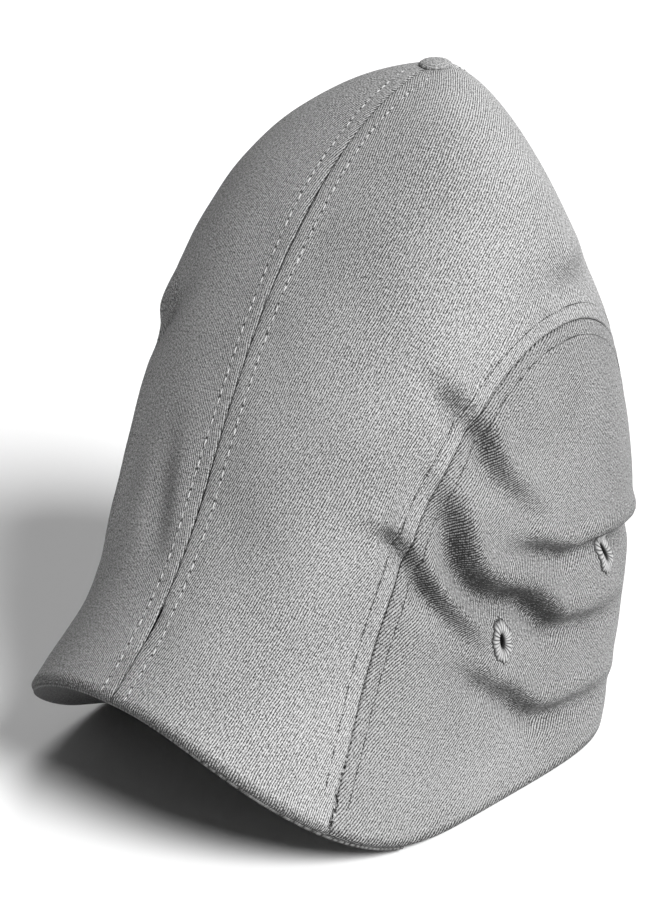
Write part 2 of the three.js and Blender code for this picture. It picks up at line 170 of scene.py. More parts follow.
def tangents(angle, t):
    """Change of place per degree and per height share."""
    step, rise = 0.2, 0.002
    low, high = np.clip(t - rise, 0, 1), np.clip(t + rise, 0, TOP_HOLE + rise)
    around = (outer(angle + step, t) - outer(angle - step, t)) / (2 * step)
    up = (outer(angle, high) - outer(angle, low)) / (high - low)[..., None]
    return around, up


def normal(angle, t):
    """Unit normal out of the surface."""
    around, up = tangents(angle, t)
    out = unit(np.cross(around, up))
    return out


def smooth(x, low, high):
    """Smooth step from 0 at low to 1 at high."""
    s = np.clip((x - low) / (high - low), 0, 1)
    return s * s * (3 - 2 * s)


def distance_to(field, angle, t):
    """Distance over the surface to the line where a field is 0: the field over its slope, with
    the slope taken through the surface's metric."""
    step, rise = 0.2, 0.002
    value = field(angle, t)
    per_degree = (field(angle + step, t) - field(angle - step, t)) / (2 * step)
    per_share = (field(angle, t + rise) - field(angle, t - rise)) / (2 * rise)
    around, up = tangents(angle, t)
    e, f, g = ((a * b).sum(-1) for a, b in ((around, around), (around, up), (up, up)))
    slope = g * per_degree**2 - 2 * f * per_degree * per_share + e * per_share**2
    return value / np.sqrt(np.maximum(slope / np.maximum(e * g - f * f, 1e-9), 1e-12))


def arch_scale(angle, t):
    """1 on the arch seam, less inside the side panel and more outside it."""
    across = np.abs(angle - ARCH_MIDDLE) / ARCH_HALF_WIDTH
    return (across**ARCH_POWER + np.abs(t / ARCH_HEIGHT) ** ARCH_POWER) ** (1 / ARCH_POWER)


def from_arch(angle, t):
    """Signed distance from the arch seam, positive on the crown's side."""
    return distance_to(lambda a, s: arch_scale(a, s) - 1, np.abs(angle), t)


def from_centre(angle, t):
    """Distance from the centre seam, front or back."""
    turned = np.abs(angle)
    near = np.minimum(turned, 180 - turned)
    span = distance_to(lambda a, s: np.sin(np.radians(a)), turned, t)
    return np.where(near < 45, np.abs(span), 1e3)


def from_rim(angle, t):
    """Distance up from the rim."""
    return np.abs(distance_to(lambda a, s: s, angle, t))


def arch_place(turn, scale=1.0):
    """The arch seam, a superellipse in angle and height share: turn 0 is its front foot."""
    across, up = np.cos(np.radians(turn)), np.sin(np.radians(turn))
    reach = scale * (np.abs(across) ** ARCH_POWER + np.abs(up) ** ARCH_POWER) ** (-1 / ARCH_POWER)
    height = ARCH_HEIGHT * np.maximum(reach * up, 0)
    return ARCH_MIDDLE - ARCH_HALF_WIDTH * reach * across, height


def arch_offset(turn, distance):
    """The arch seam moved over the surface by a distance, outwards where positive."""
    nudge = 0.01
    angle, t = arch_place(turn)
    there = outer(*arch_place(turn, 1 + nudge))
    here = outer(angle, t)
    reach = np.linalg.norm(there - here, axis=-1) / nudge
    along = unit(outer(*arch_place(turn + 0.5)) - outer(*arch_place(turn - 0.5)))
    straight = np.linalg.norm(np.cross(unit(there - here), along), axis=-1)
    return arch_place(turn, 1 + distance / (reach * np.maximum(straight, 0.3)))


def polyline(points, count):
    """Evenly spread places along a smooth line through a few (angle, height share) points."""
    points = np.array(points, float)
    knots = np.linspace(0, 1, len(points))
    fine = np.linspace(0, 1, count)
    return smooth_through(knots, points, fine)


def smooth_through(knots, values, at):
    """Cubic Hermite curve through values, or through each column of a table, with slopes from
    the neighbours on each side."""
    slopes = np.gradient(values, knots, axis=0)
    i = np.clip(np.searchsorted(knots, at, side="right") - 1, 0, len(knots) - 2)
    span = knots[i + 1] - knots[i]
    s = (at - knots[i]) / span
    if values.ndim > 1:
        span, s = span[:, None], s[:, None]
    return (
        (2 * s**3 - 3 * s**2 + 1) * values[i] + (s**3 - 2 * s**2 + s) * span * slopes[i]
        + (3 * s**2 - 2 * s**3) * values[i + 1] + (s**3 - s**2) * span * slopes[i + 1]
    )


def crease(points, line, depth, width, ridge):
    """A crease along a line: the cloth swells out above it and falls in below it, as
    depth * (1.5 (r/width) exp(-(r/width)^2) - ridge exp(-((r + width)/width)^2)), where r is
    the distance from the line, positive above it. It fades out at the line's two ends. The
    second value is painted shade in the crease's valley: exp(-1.6 (r/width + 0.1)^2), by its depth."""
    places = polyline(line, 60)
    path = outer(places[:, 0], places[:, 1])
    out = normal(places[:, 0], places[:, 1])
    flat = points.reshape(-1, 3)
    gap = flat[:, None, :] - path[None]
    nearest = (gap**2).sum(-1).argmin(1)
    to = gap[np.arange(len(flat)), nearest]
    along = unit(np.gradient(path, axis=0))
    above = np.cross(out, along)[nearest]
    above *= np.sign(above[:, 2:3] + 1e-9)
    beyond = (to * along[nearest]).sum(-1)
    r = (to * above).sum(-1)
    share = nearest / (len(path) - 1)
    fade = np.sin(np.pi * np.clip(0.04 + 0.92 * share, 0, 1)) ** 0.7
    fade *= np.exp(-((beyond / (1.5 * width)) ** 2))
    step = 1.5 * (r / width) * np.exp(-((r / width) ** 2))
    valley = ridge * np.exp(-((r / width + 1) ** 2))
    shade = depth / DARKEST_DEPTH * fade * np.exp(-((r / width + 0.1) ** 2) * 1.6)
    height = depth * fade * (step - valley)
    return height.reshape(points.shape[:-1]), shade.reshape(points.shape[:-1])


def creases(points, side):
    """All of one side's creases together: their height in millimetres, and the painted shade in
    their valleys, from 0 to 1."""
    strength = bpy.context.scene.cap_sizes.crease_strength
    lines = LEFT_CREASES if side == LEFT else RIGHT_CREASES
    height, shade = (sum(parts) for parts in zip(*(crease(points, *line) for line in lines)))
    return strength * height, np.clip(shade, 0, 1)


def swell(points, side):
    """Slow waves of a worn cap: a sum of sines of the place, under a millimetre tall."""
    x, y, z = np.moveaxis(points * 0.01, -1, 0)
    phase = 0.0 if side == LEFT else 2.1
    return (
        0.5 * np.sin(5.1 * z + 2.3 * y + phase) + 0.45 * np.sin(6.3 * y - 3.7 * z + 1.3 + phase)
        + 0.3 * np.sin(9.7 * z + 7.1 * x + 4 * y + 0.6 + phase)
        + 0.18 * np.sin(17 * y + 11 * z + 5 * x + phase) * np.sin(8 * z + phase)
    )


def folds(angle, t, side):
    """Height of the creases and slow waves over the smooth surface, still at seams' ends."""
    points = outer(angle, t)
    total = swell(points, side) + creases(points, side)[0]
    still = np.minimum(smooth(from_rim(angle, t), 1, 16), smooth(TOP_HOLE + 0.004 - t, 0, 0.05))
    middle = np.minimum(np.abs(angle), 180 - np.abs(angle))
    even = 0.25 + 0.75 * smooth(middle, 0, 14)
    sewn = 0.5 + 0.5 * smooth(np.abs(from_arch(angle, t)), 2, 14)
    return total * still * even * sewn


def cloth(angle, t, lift, side, bent=True):
    """A place on the cap's cloth in metres: the outer surface moved along its normal by the
    folds and by a lift in millimetres. Angles are given as for the left side and turned over
    for the right one. The rim is drawn in level, so that it stands on one plane."""
    angle, t = np.broadcast_arrays(np.asarray(angle, float), np.asarray(t, float))
    height = lift + (folds(angle, t, side) if bent else 0)
    out = normal(angle, t)
    level = 1 - smooth(np.abs(angle), 45, 75) * (1 - smooth(t, 0, 0.03))
    out[..., 2] *= level
    points = outer(angle, t) + unit(out) * np.broadcast_to(height, angle.shape)[..., None]
    points[..., 0] += PANEL_GAP
    points[..., 0] *= side
    return points * MM


# ---- Meshes from grids ----------------------------------------------------------------------


def grid_faces(columns, rows, wrap=False):
    """The quads of a grid of columns x rows, counter-clockwise from outside where the columns
    run to the left as seen from outside and the rows run up."""
    index = np.arange(columns * rows).reshape(columns, rows)
    if wrap:
        index = np.concatenate([index, index[:1]])
    a, b, c, d = index[:-1, :-1], index[1:, :-1], index[1:, 1:], index[:-1, 1:]
    return np.stack([a, b, c, d], -1).reshape(-1, 4)


def make(name, points, quads, material, side=LEFT, uv=None, extra=None, shade=None):
    """An object from points and faces. Faces turn round on the right side, where points are
    mirrored. uv and extra give each point its place on the cloth and its distance to a seam,
    and shade gives the painted shade in its crease valleys, kept as the crease attribute."""
    points = np.asarray(points, float).reshape(-1, 3)
    quads = np.asarray(quads)
    if side == RIGHT:
        quads = quads[:, ::-1]
    mesh = bpy.data.meshes.new(name)
    mesh.from_pydata(points, [], quads.tolist())
    mesh.polygons.foreach_set("use_smooth", np.ones(len(mesh.polygons), bool))
    loops = np.empty(len(mesh.loops), int)
    mesh.loops.foreach_get("vertex_index", loops)
    for layer, values in (("cloth", uv), ("seam", extra)):
        if values is not None:
            values = np.asarray(values, float).reshape(-1, 2)
            mesh.uv_layers.new(name=layer).data.foreach_set("uv", values[loops].ravel())
    if shade is not None:
        # The crease attribute carries painted shade for the crease valleys, read by the twill material.
        attribute = mesh.attributes.new("crease", "FLOAT", "POINT")
        attribute.data.foreach_set("value", shade.ravel().astype(np.float32))
    mesh.materials.append(material)
    mesh.update()
    piece = bpy.data.objects.new(name, mesh)
    bpy.context.scene.collection.objects.link(piece)
    return piece


def thicken(piece, thickness, offset=-1.0):
    """Gives a sheet its thickness, inwards by default, with a closed edge."""
    wall = piece.modifiers.new("thickness", "SOLIDIFY")
    wall.thickness = thickness
    wall.offset = offset
    wall.use_even_offset = False
    return piece


def own(piece, slot, *nodes):
    """The piece rides on the cap's one body and stands for its solid model nodes."""
    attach(piece, "root")
    if nodes:
        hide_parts(*nodes)
    return piece


def unwrapped(points):
    """A flat layout of a grid, by Blender's own unwrapping of a scratch mesh. It is
    scaled to the grid's true area, turned so that the first column runs straight up, and not
    mirrored."""
    n, m = points.shape[:2]
    mesh = bpy.data.meshes.new("scratch")
    mesh.from_pydata(points.reshape(-1, 3), [], grid_faces(n, m).tolist())
    scratch = bpy.data.objects.new("scratch", mesh)
    bpy.context.scene.collection.objects.link(scratch)
    bpy.context.view_layer.objects.active = scratch
    scratch.select_set(True)
    mesh.uv_layers.new(name="flat")
    bpy.ops.object.mode_set(mode="EDIT")
    bpy.ops.mesh.select_all(action="SELECT")
    bpy.ops.uv.unwrap(method="MINIMUM_STRETCH", iterations=12, margin=0)
    bpy.ops.object.mode_set(mode="OBJECT")
    loops = np.empty(len(mesh.loops), int)
    mesh.loops.foreach_get("vertex_index", loops)
    values = np.empty(len(mesh.loops) * 2)
    mesh.uv_layers["flat"].data.foreach_get("uv", values)
    flat = np.zeros((n * m, 2))
    flat[loops] = values.reshape(-1, 2)
    area = sum(polygon.area for polygon in mesh.polygons)
    bpy.data.objects.remove(scratch)
    bpy.data.meshes.remove(mesh)
    flat = flat.reshape(n, m, 2)
    a, b = flat[1:, :-1] - flat[:-1, :-1], flat[:-1, 1:] - flat[:-1, :-1]
    turned = (a[..., 0] * b[..., 1] - a[..., 1] * b[..., 0]).sum()
    flat[..., 0] *= np.sign(turned)
    flat *= np.sqrt(area / abs(turned))
    up = flat[0, -1] - flat[0, 0]
    up /= np.hypot(*up)
    return np.stack([flat @ (up[1], -up[0]), flat @ up], -1)


def cloth_map(points, side, breaks=()):
    """Where each point lies on the flat cloth, in metres: a coarse grid laid flat, and filled
    in smoothly for the fine one by the length run along it, apart on each side of the breaks,
    the columns where the grid turns a corner. It isn't mirrored on the right side, as the
    twill runs one way."""
    n, m = points.shape[:2]
    columns = np.unique(np.concatenate([np.linspace(0, n - 1, 44), breaks]).astype(int))
    rows = np.unique(np.linspace(0, m - 1, 34).astype(int))
    coarse = unwrapped(points[np.ix_(columns, rows)] * (side, 1, 1))
    steps = np.linalg.norm(np.diff(points[:, rows], axis=0), axis=-1)
    run = np.concatenate([np.zeros((1, len(rows))), np.cumsum(steps, axis=0)])
    across = np.empty((n, len(rows), 2))
    ends = (0, *breaks, n - 1)
    for first, last in zip(ends, ends[1:]):
        knots = columns[(columns >= first) & (columns <= last)]
        chosen = np.isin(columns, knots)
        for row in range(len(rows)):
            across[first:last + 1, row] = smooth_through(
                run[knots, row], coarse[chosen, row], run[first:last + 1, row]
            )
    climb = np.linalg.norm(np.diff(points, axis=1), axis=-1).mean(0)
    climb = np.concatenate([[0], np.cumsum(climb)])
    upright = across.swapaxes(0, 1).reshape(len(rows), -1)
    fine = smooth_through(climb[rows], upright, climb).reshape(m, n, 2).swapaxes(0, 1)
    return fine * (side, 1)


def crown_grid():
    """Places of a crown panel, and the two columns at the ends of the arch: columns from the
    front seam to the back seam, rows from the lower edge to the top. The lower edge follows
    the rim, steps over the arch, and follows the rim again. Columns crowd together at both
    centre seams and rows at the lower edge."""
    clear = 0.08
    turns = 90 - 90 * np.cos(np.radians(np.linspace(0, 180, 141)))
    turns = 0.5 * turns + 0.5 * np.linspace(0, 180, 141)
    turns = np.clip(turns, 0.6, 179.4)
    arch_angle, arch_t = arch_offset(turns, clear)
    arch_t[[0, -1]] = 0
    foot, heel = ARCH_MIDDLE - ARCH_HALF_WIDTH, ARCH_MIDDLE + ARCH_HALF_WIDTH
    front = np.linspace(0, 1, 44)[:-1] * arch_angle[0]
    back = arch_angle[-1] + (180 - arch_angle[-1]) * np.linspace(0, 1, 16)[1:]
    low_angle = np.concatenate([front, arch_angle, back])
    low_t = np.concatenate([front * 0, arch_t, back * 0])
    top_angle = np.concatenate([
        front / arch_angle[0] * foot, foot + (heel - foot) * turns / 180,
        heel + (back - arch_angle[-1]) / (180 - arch_angle[-1]) * (180 - heel),
    ])
    climb = rows_up(low_angle, low_t, top_angle, 150)
    angle = low_angle[:, None] + (top_angle - low_angle)[:, None] * climb
    t = low_t[:, None] + (TOP_HOLE - low_t)[:, None] * climb**1.1
    seam = np.array(SEAM_DISTANCE[:-1], float)
    share = seam / SEAM_DISTANCE[-1]
    ends = []
    for middle, sign, limit, span in ((0, 1, 20, arch_angle[0]), (180, -1, 12, 180 - arch_angle[-1])):
        row = -1 if sign < 0 else 0
        per_degree = np.linalg.norm(tangents(np.full_like(t[row], middle), t[row])[0], axis=-1)
        width = np.minimum(SEAM_DISTANCE[-1] / per_degree, limit)
        near = np.abs(angle - middle)
        angle = np.where(near <= span, middle + sign * (width + near * (1 - width / span)), angle)
        ends.append((middle + sign * share[:, None] * width, np.tile(t[row], (len(seam), 1))))
    (front_a, front_t), (back_a, back_t) = ends
    angle = np.concatenate([front_a, angle, back_a[::-1]])
    t = np.concatenate([front_t, t, back_t[::-1]])
    foot_column = len(seam) + len(front)
    return angle, t, (foot_column, foot_column + len(turns) - 1)


def rows_up(low_angle, low_t, top_angle, rows):
    """Row shares for each column: the first rows at the seam's own distances, the rest spread
    evenly up to the top."""
    small = 0.01
    here = outer(low_angle, low_t)
    above = outer(low_angle + (top_angle - low_angle) * small, low_t + (TOP_HOLE - low_t) * small**1.1)
    reach = np.linalg.norm(above - here, axis=-1) / small
    first = np.array(SEAM_DISTANCE, float)[None] / reach[:, None]
    rest = np.linspace(0, 1, rows - len(SEAM_DISTANCE) + 1)[1:]
    last = first[:, -1:]
    return np.concatenate([first, last + (1 - last) * rest], 1)


def seam_lift(angle, t, in_crown):
    """Lift and distance for a panel's cloth near its seams and hem: the seam's own profile of
    the distance to the nearest seam, and the hem's of the distance to the rim."""
    arch = np.abs(from_arch(angle, t))
    rim = from_rim(angle, t)
    lift = np.interp(arch, SEAM_DISTANCE, SEAM_LIFT)
    nearest = arch
    if in_crown:
        centre = from_centre(angle, t)
        crossing = np.interp(centre, SEAM_DISTANCE, SEAM_LIFT)
        lift = np.where(centre < arch, np.where(centre < 12, crossing, lift), lift)
        nearest = np.minimum(arch, centre)
    hem = np.interp(rim, SEAM_DISTANCE, HEM_LIFT)
    return np.where(hem < -0.001, np.minimum(hem, lift), lift), nearest, rim


def stitch_dimples(points, nearest, pitch=3.1):
    """Puckers beside a topstitched seam: small bumps along it that fade away from the rows."""
    x, y, z = np.moveaxis(points, -1, 0)
    run = 0.7 * x + 0.9 * y + 1.1 * z
    close = np.exp(-(((nearest - 3.2) / 2.6) ** 2))
    wide = np.exp(-(((nearest - 7) / 5) ** 2))
    return 0.05 * close * np.sin(2 * np.pi * run / (1.35 * pitch)) + 0.16 * wide * np.sin(
        2 * np.pi * run / (4.7 * pitch) + 1.7 * np.sin(run / 23)
    )


def crown_panel(side, material, thickness):
    """One crown panel of twill with its creases, seam folds and turned lower edge."""
    angle, t, corners = crown_grid()
    lift, nearest, rim = seam_lift(angle, t, True)
    lift = lift + stitch_dimples(outer(angle, t), nearest)
    points = cloth(angle, t, lift, side)
    grain = cloth_map(points, side, corners)
    distances = np.stack([np.minimum(nearest, 50), np.minimum(rim, 50)], -1)
    # Painted shade in the creases' valleys, kept on the cloth for its material.
    shade = creases(outer(angle, t), side)[1]
    name = f"{dict(SIDES)[side]}_crown_cloth"
    piece = make(name, points, grid_faces(*angle.shape), material, side, grain, distances, shade)
    return thicken(piece, thickness)


def side_grid(columns=150, rows=120):
    """Places of a side panel: a square mapped to a half disc, so that its edge is the seam.
    The grid crowds together towards the seam and the rim."""
    s = np.linspace(-1, 1, columns)
    a = np.sin(s * np.pi / 2) * 0.45 + s * 0.55
    r = np.linspace(0, 1, rows)
    b = (1 - np.cos(r * np.pi)) / 2 * 0.45 + r * 0.55
    a, b = np.meshgrid(a, b, indexing="ij")
    across, up = a * np.sqrt(1 - b**2 / 2), b * np.sqrt(1 - a**2 / 2)
    turn = np.degrees(np.arctan2(up, -across))
    scale = np.minimum(np.hypot(across, up), 1)
    angle, t = arch_place(turn, scale)
    return angle, np.where(b <= 0, 0, t)


def side_panel(side, material, thickness):
    """One side panel, open under its two eyelets."""
    angle, t = side_grid()
    lift, nearest, rim = seam_lift(angle, t, False)
    lift = lift + stitch_dimples(outer(angle, t), nearest)
    points = cloth(angle, t, lift, side)
    grain = cloth_map(points, side)
    distances = np.stack([np.minimum(nearest, 50), np.minimum(rim, 50)], -1)
    quads = grid_faces(*angle.shape)
    sizes = bpy.context.scene.cap_sizes
    for place in EYELETS.values():
        x, z = leaned(*eyelet_local(place, angle, t), -EYELET_LEAN)
        inner = np.hypot(x / (sizes.eyelet_hole_x / MM + 1.3), z / (sizes.eyelet_hole_z / MM + 1.8)) < 1
        quads = quads[~inner.ravel()[quads].any(1)]
    # Painted shade in the creases' valleys, kept on the cloth for its material.
    shade = creases(outer(angle, t), side)[1]
    name = f"{dict(SIDES)[side]}_side_cloth"
    piece = make(name, points, quads, material, side, grain, distances, shade)
    return thicken(piece, thickness)


# ---- Stitches and eyelets -------------------------------------------------------------------


def tube_rows(centres, along, out, radius, lengthwise, rings=7, around=6):
    """A row of stitches. Each is a short rounded bar: a circle carried along it, that shrinks
    to a point at both ends, and its middle stands up while its ends dip into the cloth."""
    s = np.linspace(-1, 1, rings)
    swing = np.linspace(0, 2 * np.pi, around, endpoint=False)
    across = unit(np.cross(along, out))
    spine = centres[:, None] + along[:, None] * (lengthwise[:, None] * 0.5 * s)[..., None]
    spine = spine + out[:, None] * (radius * (0.75 - 1.9 * s**4))[None, :, None]
    swell_ = radius * np.sqrt(np.clip(1 - (0.97 * s) ** 6, 0, 1))
    ring = (
        across[:, None, None] * np.cos(swing)[None, None, :, None]
        + out[:, None, None] * np.sin(swing)[None, None, :, None]
    )
    points = spine[:, :, None] + ring * swell_[None, :, None, None]
    count = len(centres)
    index = np.arange(count * rings * around).reshape(count, rings, around)
    nxt = np.roll(index, -1, axis=2)
    quads = np.stack([index[:, :-1], nxt[:, :-1], nxt[:, 1:], index[:, 1:]], -1).reshape(-1, 4)
    ends = np.concatenate([index[:, 0][:, ::-1], index[:, -1]])
    return points.reshape(-1, 3), quads.tolist() + ends.tolist()


def stitch_row(name, angle, t, side, material, sizes):
    """Stitches laid along a line of places, each followed by a short near-black bar sunk in the
    cloth: painted shadow of the needle hole that it dives into. The pitch is longer where the
    seam runs upright."""
    path = cloth(angle, t, -0.3, side)
    steps = np.diff(path, axis=0)
    run = np.concatenate([[0], np.cumsum(np.linalg.norm(steps, axis=1))])
    upright = np.abs(unit(steps)[:, 2])
    pitch = np.hypot(sizes.stitch_pitch * upright, 0.62 * sizes.stitch_pitch * np.sqrt(1 - upright**2))
    beat = np.concatenate([[0], np.cumsum(np.linalg.norm(steps, axis=1) / pitch)])
    spots = np.arange(0.5, beat[-1] - 0.2)
    at = np.interp(spots, beat, run)
    centres = np.stack([np.interp(at, run, path[:, k]) for k in range(3)], -1)
    ahead = np.stack([np.interp(at + 1e-3, run, path[:, k]) for k in range(3)], -1)
    behind = np.stack([np.interp(at - 1e-3, run, path[:, k]) for k in range(3)], -1)
    along = unit(ahead - behind)
    out = normal(np.interp(at, run, angle), np.interp(at, run, t))
    out[:, 0] *= side
    out = unit(out - along * (out * along).sum(-1, keepdims=True))
    spans = np.interp(at, 0.5 * (run[1:] + run[:-1]), pitch)
    points, faces = tube_rows(centres, along, out, sizes.thread_radius, 0.78 * spans)
    # Painted shadow: a short near-black bar, sunk in the cloth, at each needle hole.
    painted_shadow_holes = centres + along * spans[:, None] / 2 - out * sizes.thread_radius * 0.5
    more, dark = tube_rows(painted_shadow_holes, along, out, sizes.thread_radius * 1.3, 0.3 * spans)
    mesh = bpy.data.meshes.new(name)
    shifted = [[corner + len(points) for corner in face] for face in dark]
    mesh.from_pydata(np.concatenate([points, more]), [], faces + shifted)
    mesh.polygons.foreach_set("use_smooth", np.ones(len(mesh.polygons), bool))
    mesh.polygons.foreach_set("material_index", np.repeat((0, 1), (len(faces), len(dark))))
    mesh.materials.append(material)
    mesh.materials.append(needle_hole())
    mesh.update()
    piece = bpy.data.objects.new(name, mesh)
    bpy.context.scene.collection.objects.link(piece)
    return piece


def centre_row_places(offset):
    """The topstitching beside the whole centre seam: up the front, and down the back."""
    t = np.linspace(0.004, 0.955, 260)
    front = np.full_like(t, 0.0)
    back = np.full_like(t, 180.0)
    per_front = np.linalg.norm(tangents(front, t)[0], axis=-1)
    per_back = np.linalg.norm(tangents(back, t)[0], axis=-1)
    return (offset / per_front, t), (180 - offset / per_back[::-1], t[::-1])


def eyelet_frame(place):
    """The two surface tangents at an eyelet, and its level and upright directions."""
    angle, t = (np.array([float(v)]) for v in place)
    around, up = (v[0] for v in tangents(angle, t))
    out = normal(angle, t)[0]
    level = unit(np.cross([0, 0, 1.0], out))
    return around, up, level, np.cross(out, level)


def eyelet_local(place, angle, t):
    """Level and upright distance of each place from an eyelet's middle, in millimetres."""
    around, up, level, upright = eyelet_frame(place)
    away = (angle - place[0])[..., None] * around + (t - place[1])[..., None] * up
    return away @ level, away @ upright


def leaned(x, z, lean):
    """Level and upright offsets turned by a lean, so that the top goes towards the bill."""
    return x * math.cos(lean) - z * math.sin(lean), x * math.sin(lean) + z * math.cos(lean)


def eyelet_ring(name, place, side, material, sizes):
    """A worked eyelet: an oval ring whose section is a low dome, cut by radial threads. Its
    height is the dome times 1 minus the groove between two threads, |sin(n turn)|^0.6, and it
    goes down through the cloth at the hole and at the outer edge. The threads stand evenly
    round the oval, which leans towards the bill."""
    around, up, level, upright = eyelet_frame(place)
    solve = np.linalg.inv(np.stack([[around @ level, up @ level], [around @ upright, up @ upright]]))
    threads, per_thread = 22, 14
    even = np.linspace(0, 2 * np.pi, threads * per_thread, endpoint=False)
    share = np.array([0.0, 0.0, 0.06, 0.2, 0.36, 0.52, 0.68, 0.82, 0.93, 1.0, 1.0, 0.7, 0.3])
    dome = np.array([-2.4, -0.9, 0.0, 0.55, 0.82, 0.9, 0.84, 0.62, 0.25, -0.35, -1.0, -2.7, -2.7])
    hole_x, hole_z = sizes.eyelet_hole_x / MM, sizes.eyelet_hole_z / MM
    out_x, out_z = sizes.eyelet_width / MM / 2, sizes.eyelet_height / MM / 2
    fine = np.linspace(0, 2 * np.pi, 721)
    edge = np.hypot(out_x * np.diff(np.cos(fine)), out_z * np.diff(np.sin(fine)))
    run = np.concatenate([[0], np.cumsum(edge)])
    turn = np.interp(even, run * 2 * np.pi / run[-1], fine)
    ridge = np.abs(np.sin(even * threads / 2)) ** 0.6
    uneven = 1 + 0.05 * np.sin(turn * 7 + 1.2) + 0.04 * np.sin(turn * 19)
    half_x = hole_x + (out_x * uneven[:, None] - hole_x) * share
    half_z = hole_z + (out_z * uneven[:, None] - hole_z) * share
    shown = (dome > -0.5).astype(float)
    x, z = leaned(half_x * np.cos(turn)[:, None], half_z * np.sin(turn)[:, None], EYELET_LEAN)
    height = dome + 0.25 + shown * 0.6 * (ridge[:, None] - 0.7)
    moved = np.stack([x, z], -1) @ solve.T
    points = cloth(place[0] + moved[..., 0], place[1] + moved[..., 1], height, side)
    columns, rows = x.shape
    index = np.arange(columns * rows).reshape(columns, rows)
    index = np.concatenate([index, index[:1]])
    index = np.concatenate([index, index[:, :1]], 1)
    quads = np.stack([index[:-1, :-1], index[:-1, 1:], index[1:, 1:], index[1:, :-1]], -1).reshape(-1, 4)
    spun = np.stack([ridge[:, None] + 0 * x, share + 0 * x], -1)
    return make(name, points, quads, material, side, uv=spun)


# ---- The inside -----------------------------------------------------------------------------


def band_point(angle, share, depth):
    """A point of the sweatband in millimetres. Beside and behind the head it lies under the
    panels; across the forehead it leaves them for a superellipse that arches over the bill."""
    turned = np.where(angle > 180, angle - 360, angle)
    sine, cosine = np.abs(np.sin(np.radians(turned))), np.cos(np.radians(turned))
    share, depth = (np.broadcast_to(v, turned.shape) for v in (share, depth))
    wall_t = BAND["low"] + (BAND["high"] - BAND["low"]) * share
    wall = outer(turned, wall_t) - normal(turned, wall_t) * (BAND["depth"] + depth)[..., None]
    ahead = np.maximum(cosine, 1e-6) / (WIDEST_Y[0] - BAND["forehead"])
    power = BAND["squareness"]
    reach = (ahead**power + (sine / BAND["half_width"]) ** power) ** (-1 / power) - depth
    first, second = BAND["arch_power"]
    rise = (1 - sine**first) ** second
    free = np.stack([
        reach * np.sin(np.radians(turned)),
        WIDEST_Y[0] - reach * cosine + BAND["lean"] * share * cosine - ORIGIN_Y,
        BAND["foot"] + BAND["arch"] * rise + BAND["height"] * share,
    ], -1)
    blend = smooth(np.abs(turned), *BAND["fade"])[..., None]
    return free + (wall - free) * blend


def bill_point(angle, share):
    """A point under the bill in millimetres, from just inside the rim to the sweatband."""
    rim = outer(angle, 0 * angle) - normal(angle, 0 * angle) * 1.95
    head = band_point(angle, 0.0, -0.7)
    return rim + (head - rim) * share[..., None]


def bill_sheet(half_angle, start, end, height, columns, rows):
    """Points of a sheet parallel to the bill's underside, at one height above it."""
    angle, share = np.meshgrid(
        np.linspace(-half_angle, half_angle, columns), np.linspace(start, end, rows), indexing="ij"
    )
    around = bill_point(angle + 0.5, share) - bill_point(angle - 0.5, share)
    back = bill_point(angle, share + 0.02) - bill_point(angle, share - 0.02)
    return bill_point(angle, share) + unit(np.cross(around, back)) * height


# ---- Materials ------------------------------------------------------------------------------


class Nodes:
    """Short hand for a material's node tree."""

    def __init__(self, name, roughness):
        self.material = bpy.data.materials.new(name)
        self.material.use_nodes = True
        self.tree = self.material.node_tree
        self.shader = self.tree.nodes["Principled BSDF"]
        self.shader.inputs["Roughness"].default_value = roughness

    def add(self, kind, **values):
        node = self.tree.nodes.new(kind)
        for key, value in values.items():
            setattr(node, key, value)
        return node

    def link(self, a, b):
        self.tree.links.new(a, b)

    def math(self, operation, a, b=None, c=None):
        """A Math node's output, from sockets or numbers."""
        node = self.add("ShaderNodeMath", operation=operation)
        for socket, value in zip(node.inputs, (a, b, c)):
            if isinstance(value, bpy.types.NodeSocket):
                self.link(value, socket)
            elif value is not None:
                socket.default_value = value
        return node.outputs[0]

    def uv(self, layer):
        node = self.add("ShaderNodeUVMap", uv_map=layer)
        split = self.add("ShaderNodeSeparateXYZ")
        self.link(node.outputs[0], split.inputs[0])
        return node.outputs[0], split.outputs[0], split.outputs[1]

    def position(self):
        return self.add("ShaderNodeTexCoord").outputs["Object"]

    def noise(self, vector, scale, detail=2.0):
        node = self.add("ShaderNodeTexNoise")
        node.inputs["Scale"].default_value = scale
        node.inputs["Detail"].default_value = detail
        self.link(vector, node.inputs["Vector"])
        return node.outputs[0]

    def between(self, factor, dark, light):
        """A colour between two, by a factor from 0 to 1."""
        node = self.add("ShaderNodeMix", data_type="RGBA")
        node.inputs[6].default_value = (*dark, 1)
        node.inputs[7].default_value = (*light, 1)
        self.link(factor, node.inputs[0])
        return node.outputs[2]

    def bump(self, height, distance, strength=1.0):
        node = self.add("ShaderNodeBump")
        node.inputs["Strength"].default_value = strength
        node.inputs["Distance"].default_value = distance
        self.link(height, node.inputs["Height"])
        self.link(node.outputs[0], self.shader.inputs["Normal"])

    def colour(self, socket):
        self.link(socket, self.shader.inputs["Base Color"])


def dimmed(colour, share):
    """A colour at a share of its strength."""
    return tuple(share * v for v in colour)


def wave(nodes, value, period):
    """0.5 + 0.5 sin(2 pi value / period)."""
    turned = nodes.math("MULTIPLY", value, 2 * math.pi / period)
    return nodes.math("MULTIPLY_ADD", nodes.math("SINE", turned), 0.5, 0.5)


# How far each thing moves twill from its dark yarn's colour to its light one's, and how far the
# darkening reaches from a seam and a hem, in millimetres. The seam, hem and crease darkenings are
# painted shade: in the seam's groove, at the turned-under hem and in the creases' valleys.
TWILL = {
    "ribs": 0.8, "threads": 0.2, "speckle": 1.9, "soft": 0.7, "wear": 0.4, "base": 0.04,
    "seam": 0.22, "seam_reach": 1.0, "hem": 0.13, "hem_reach": 4.5, "fold": 0.62,
}


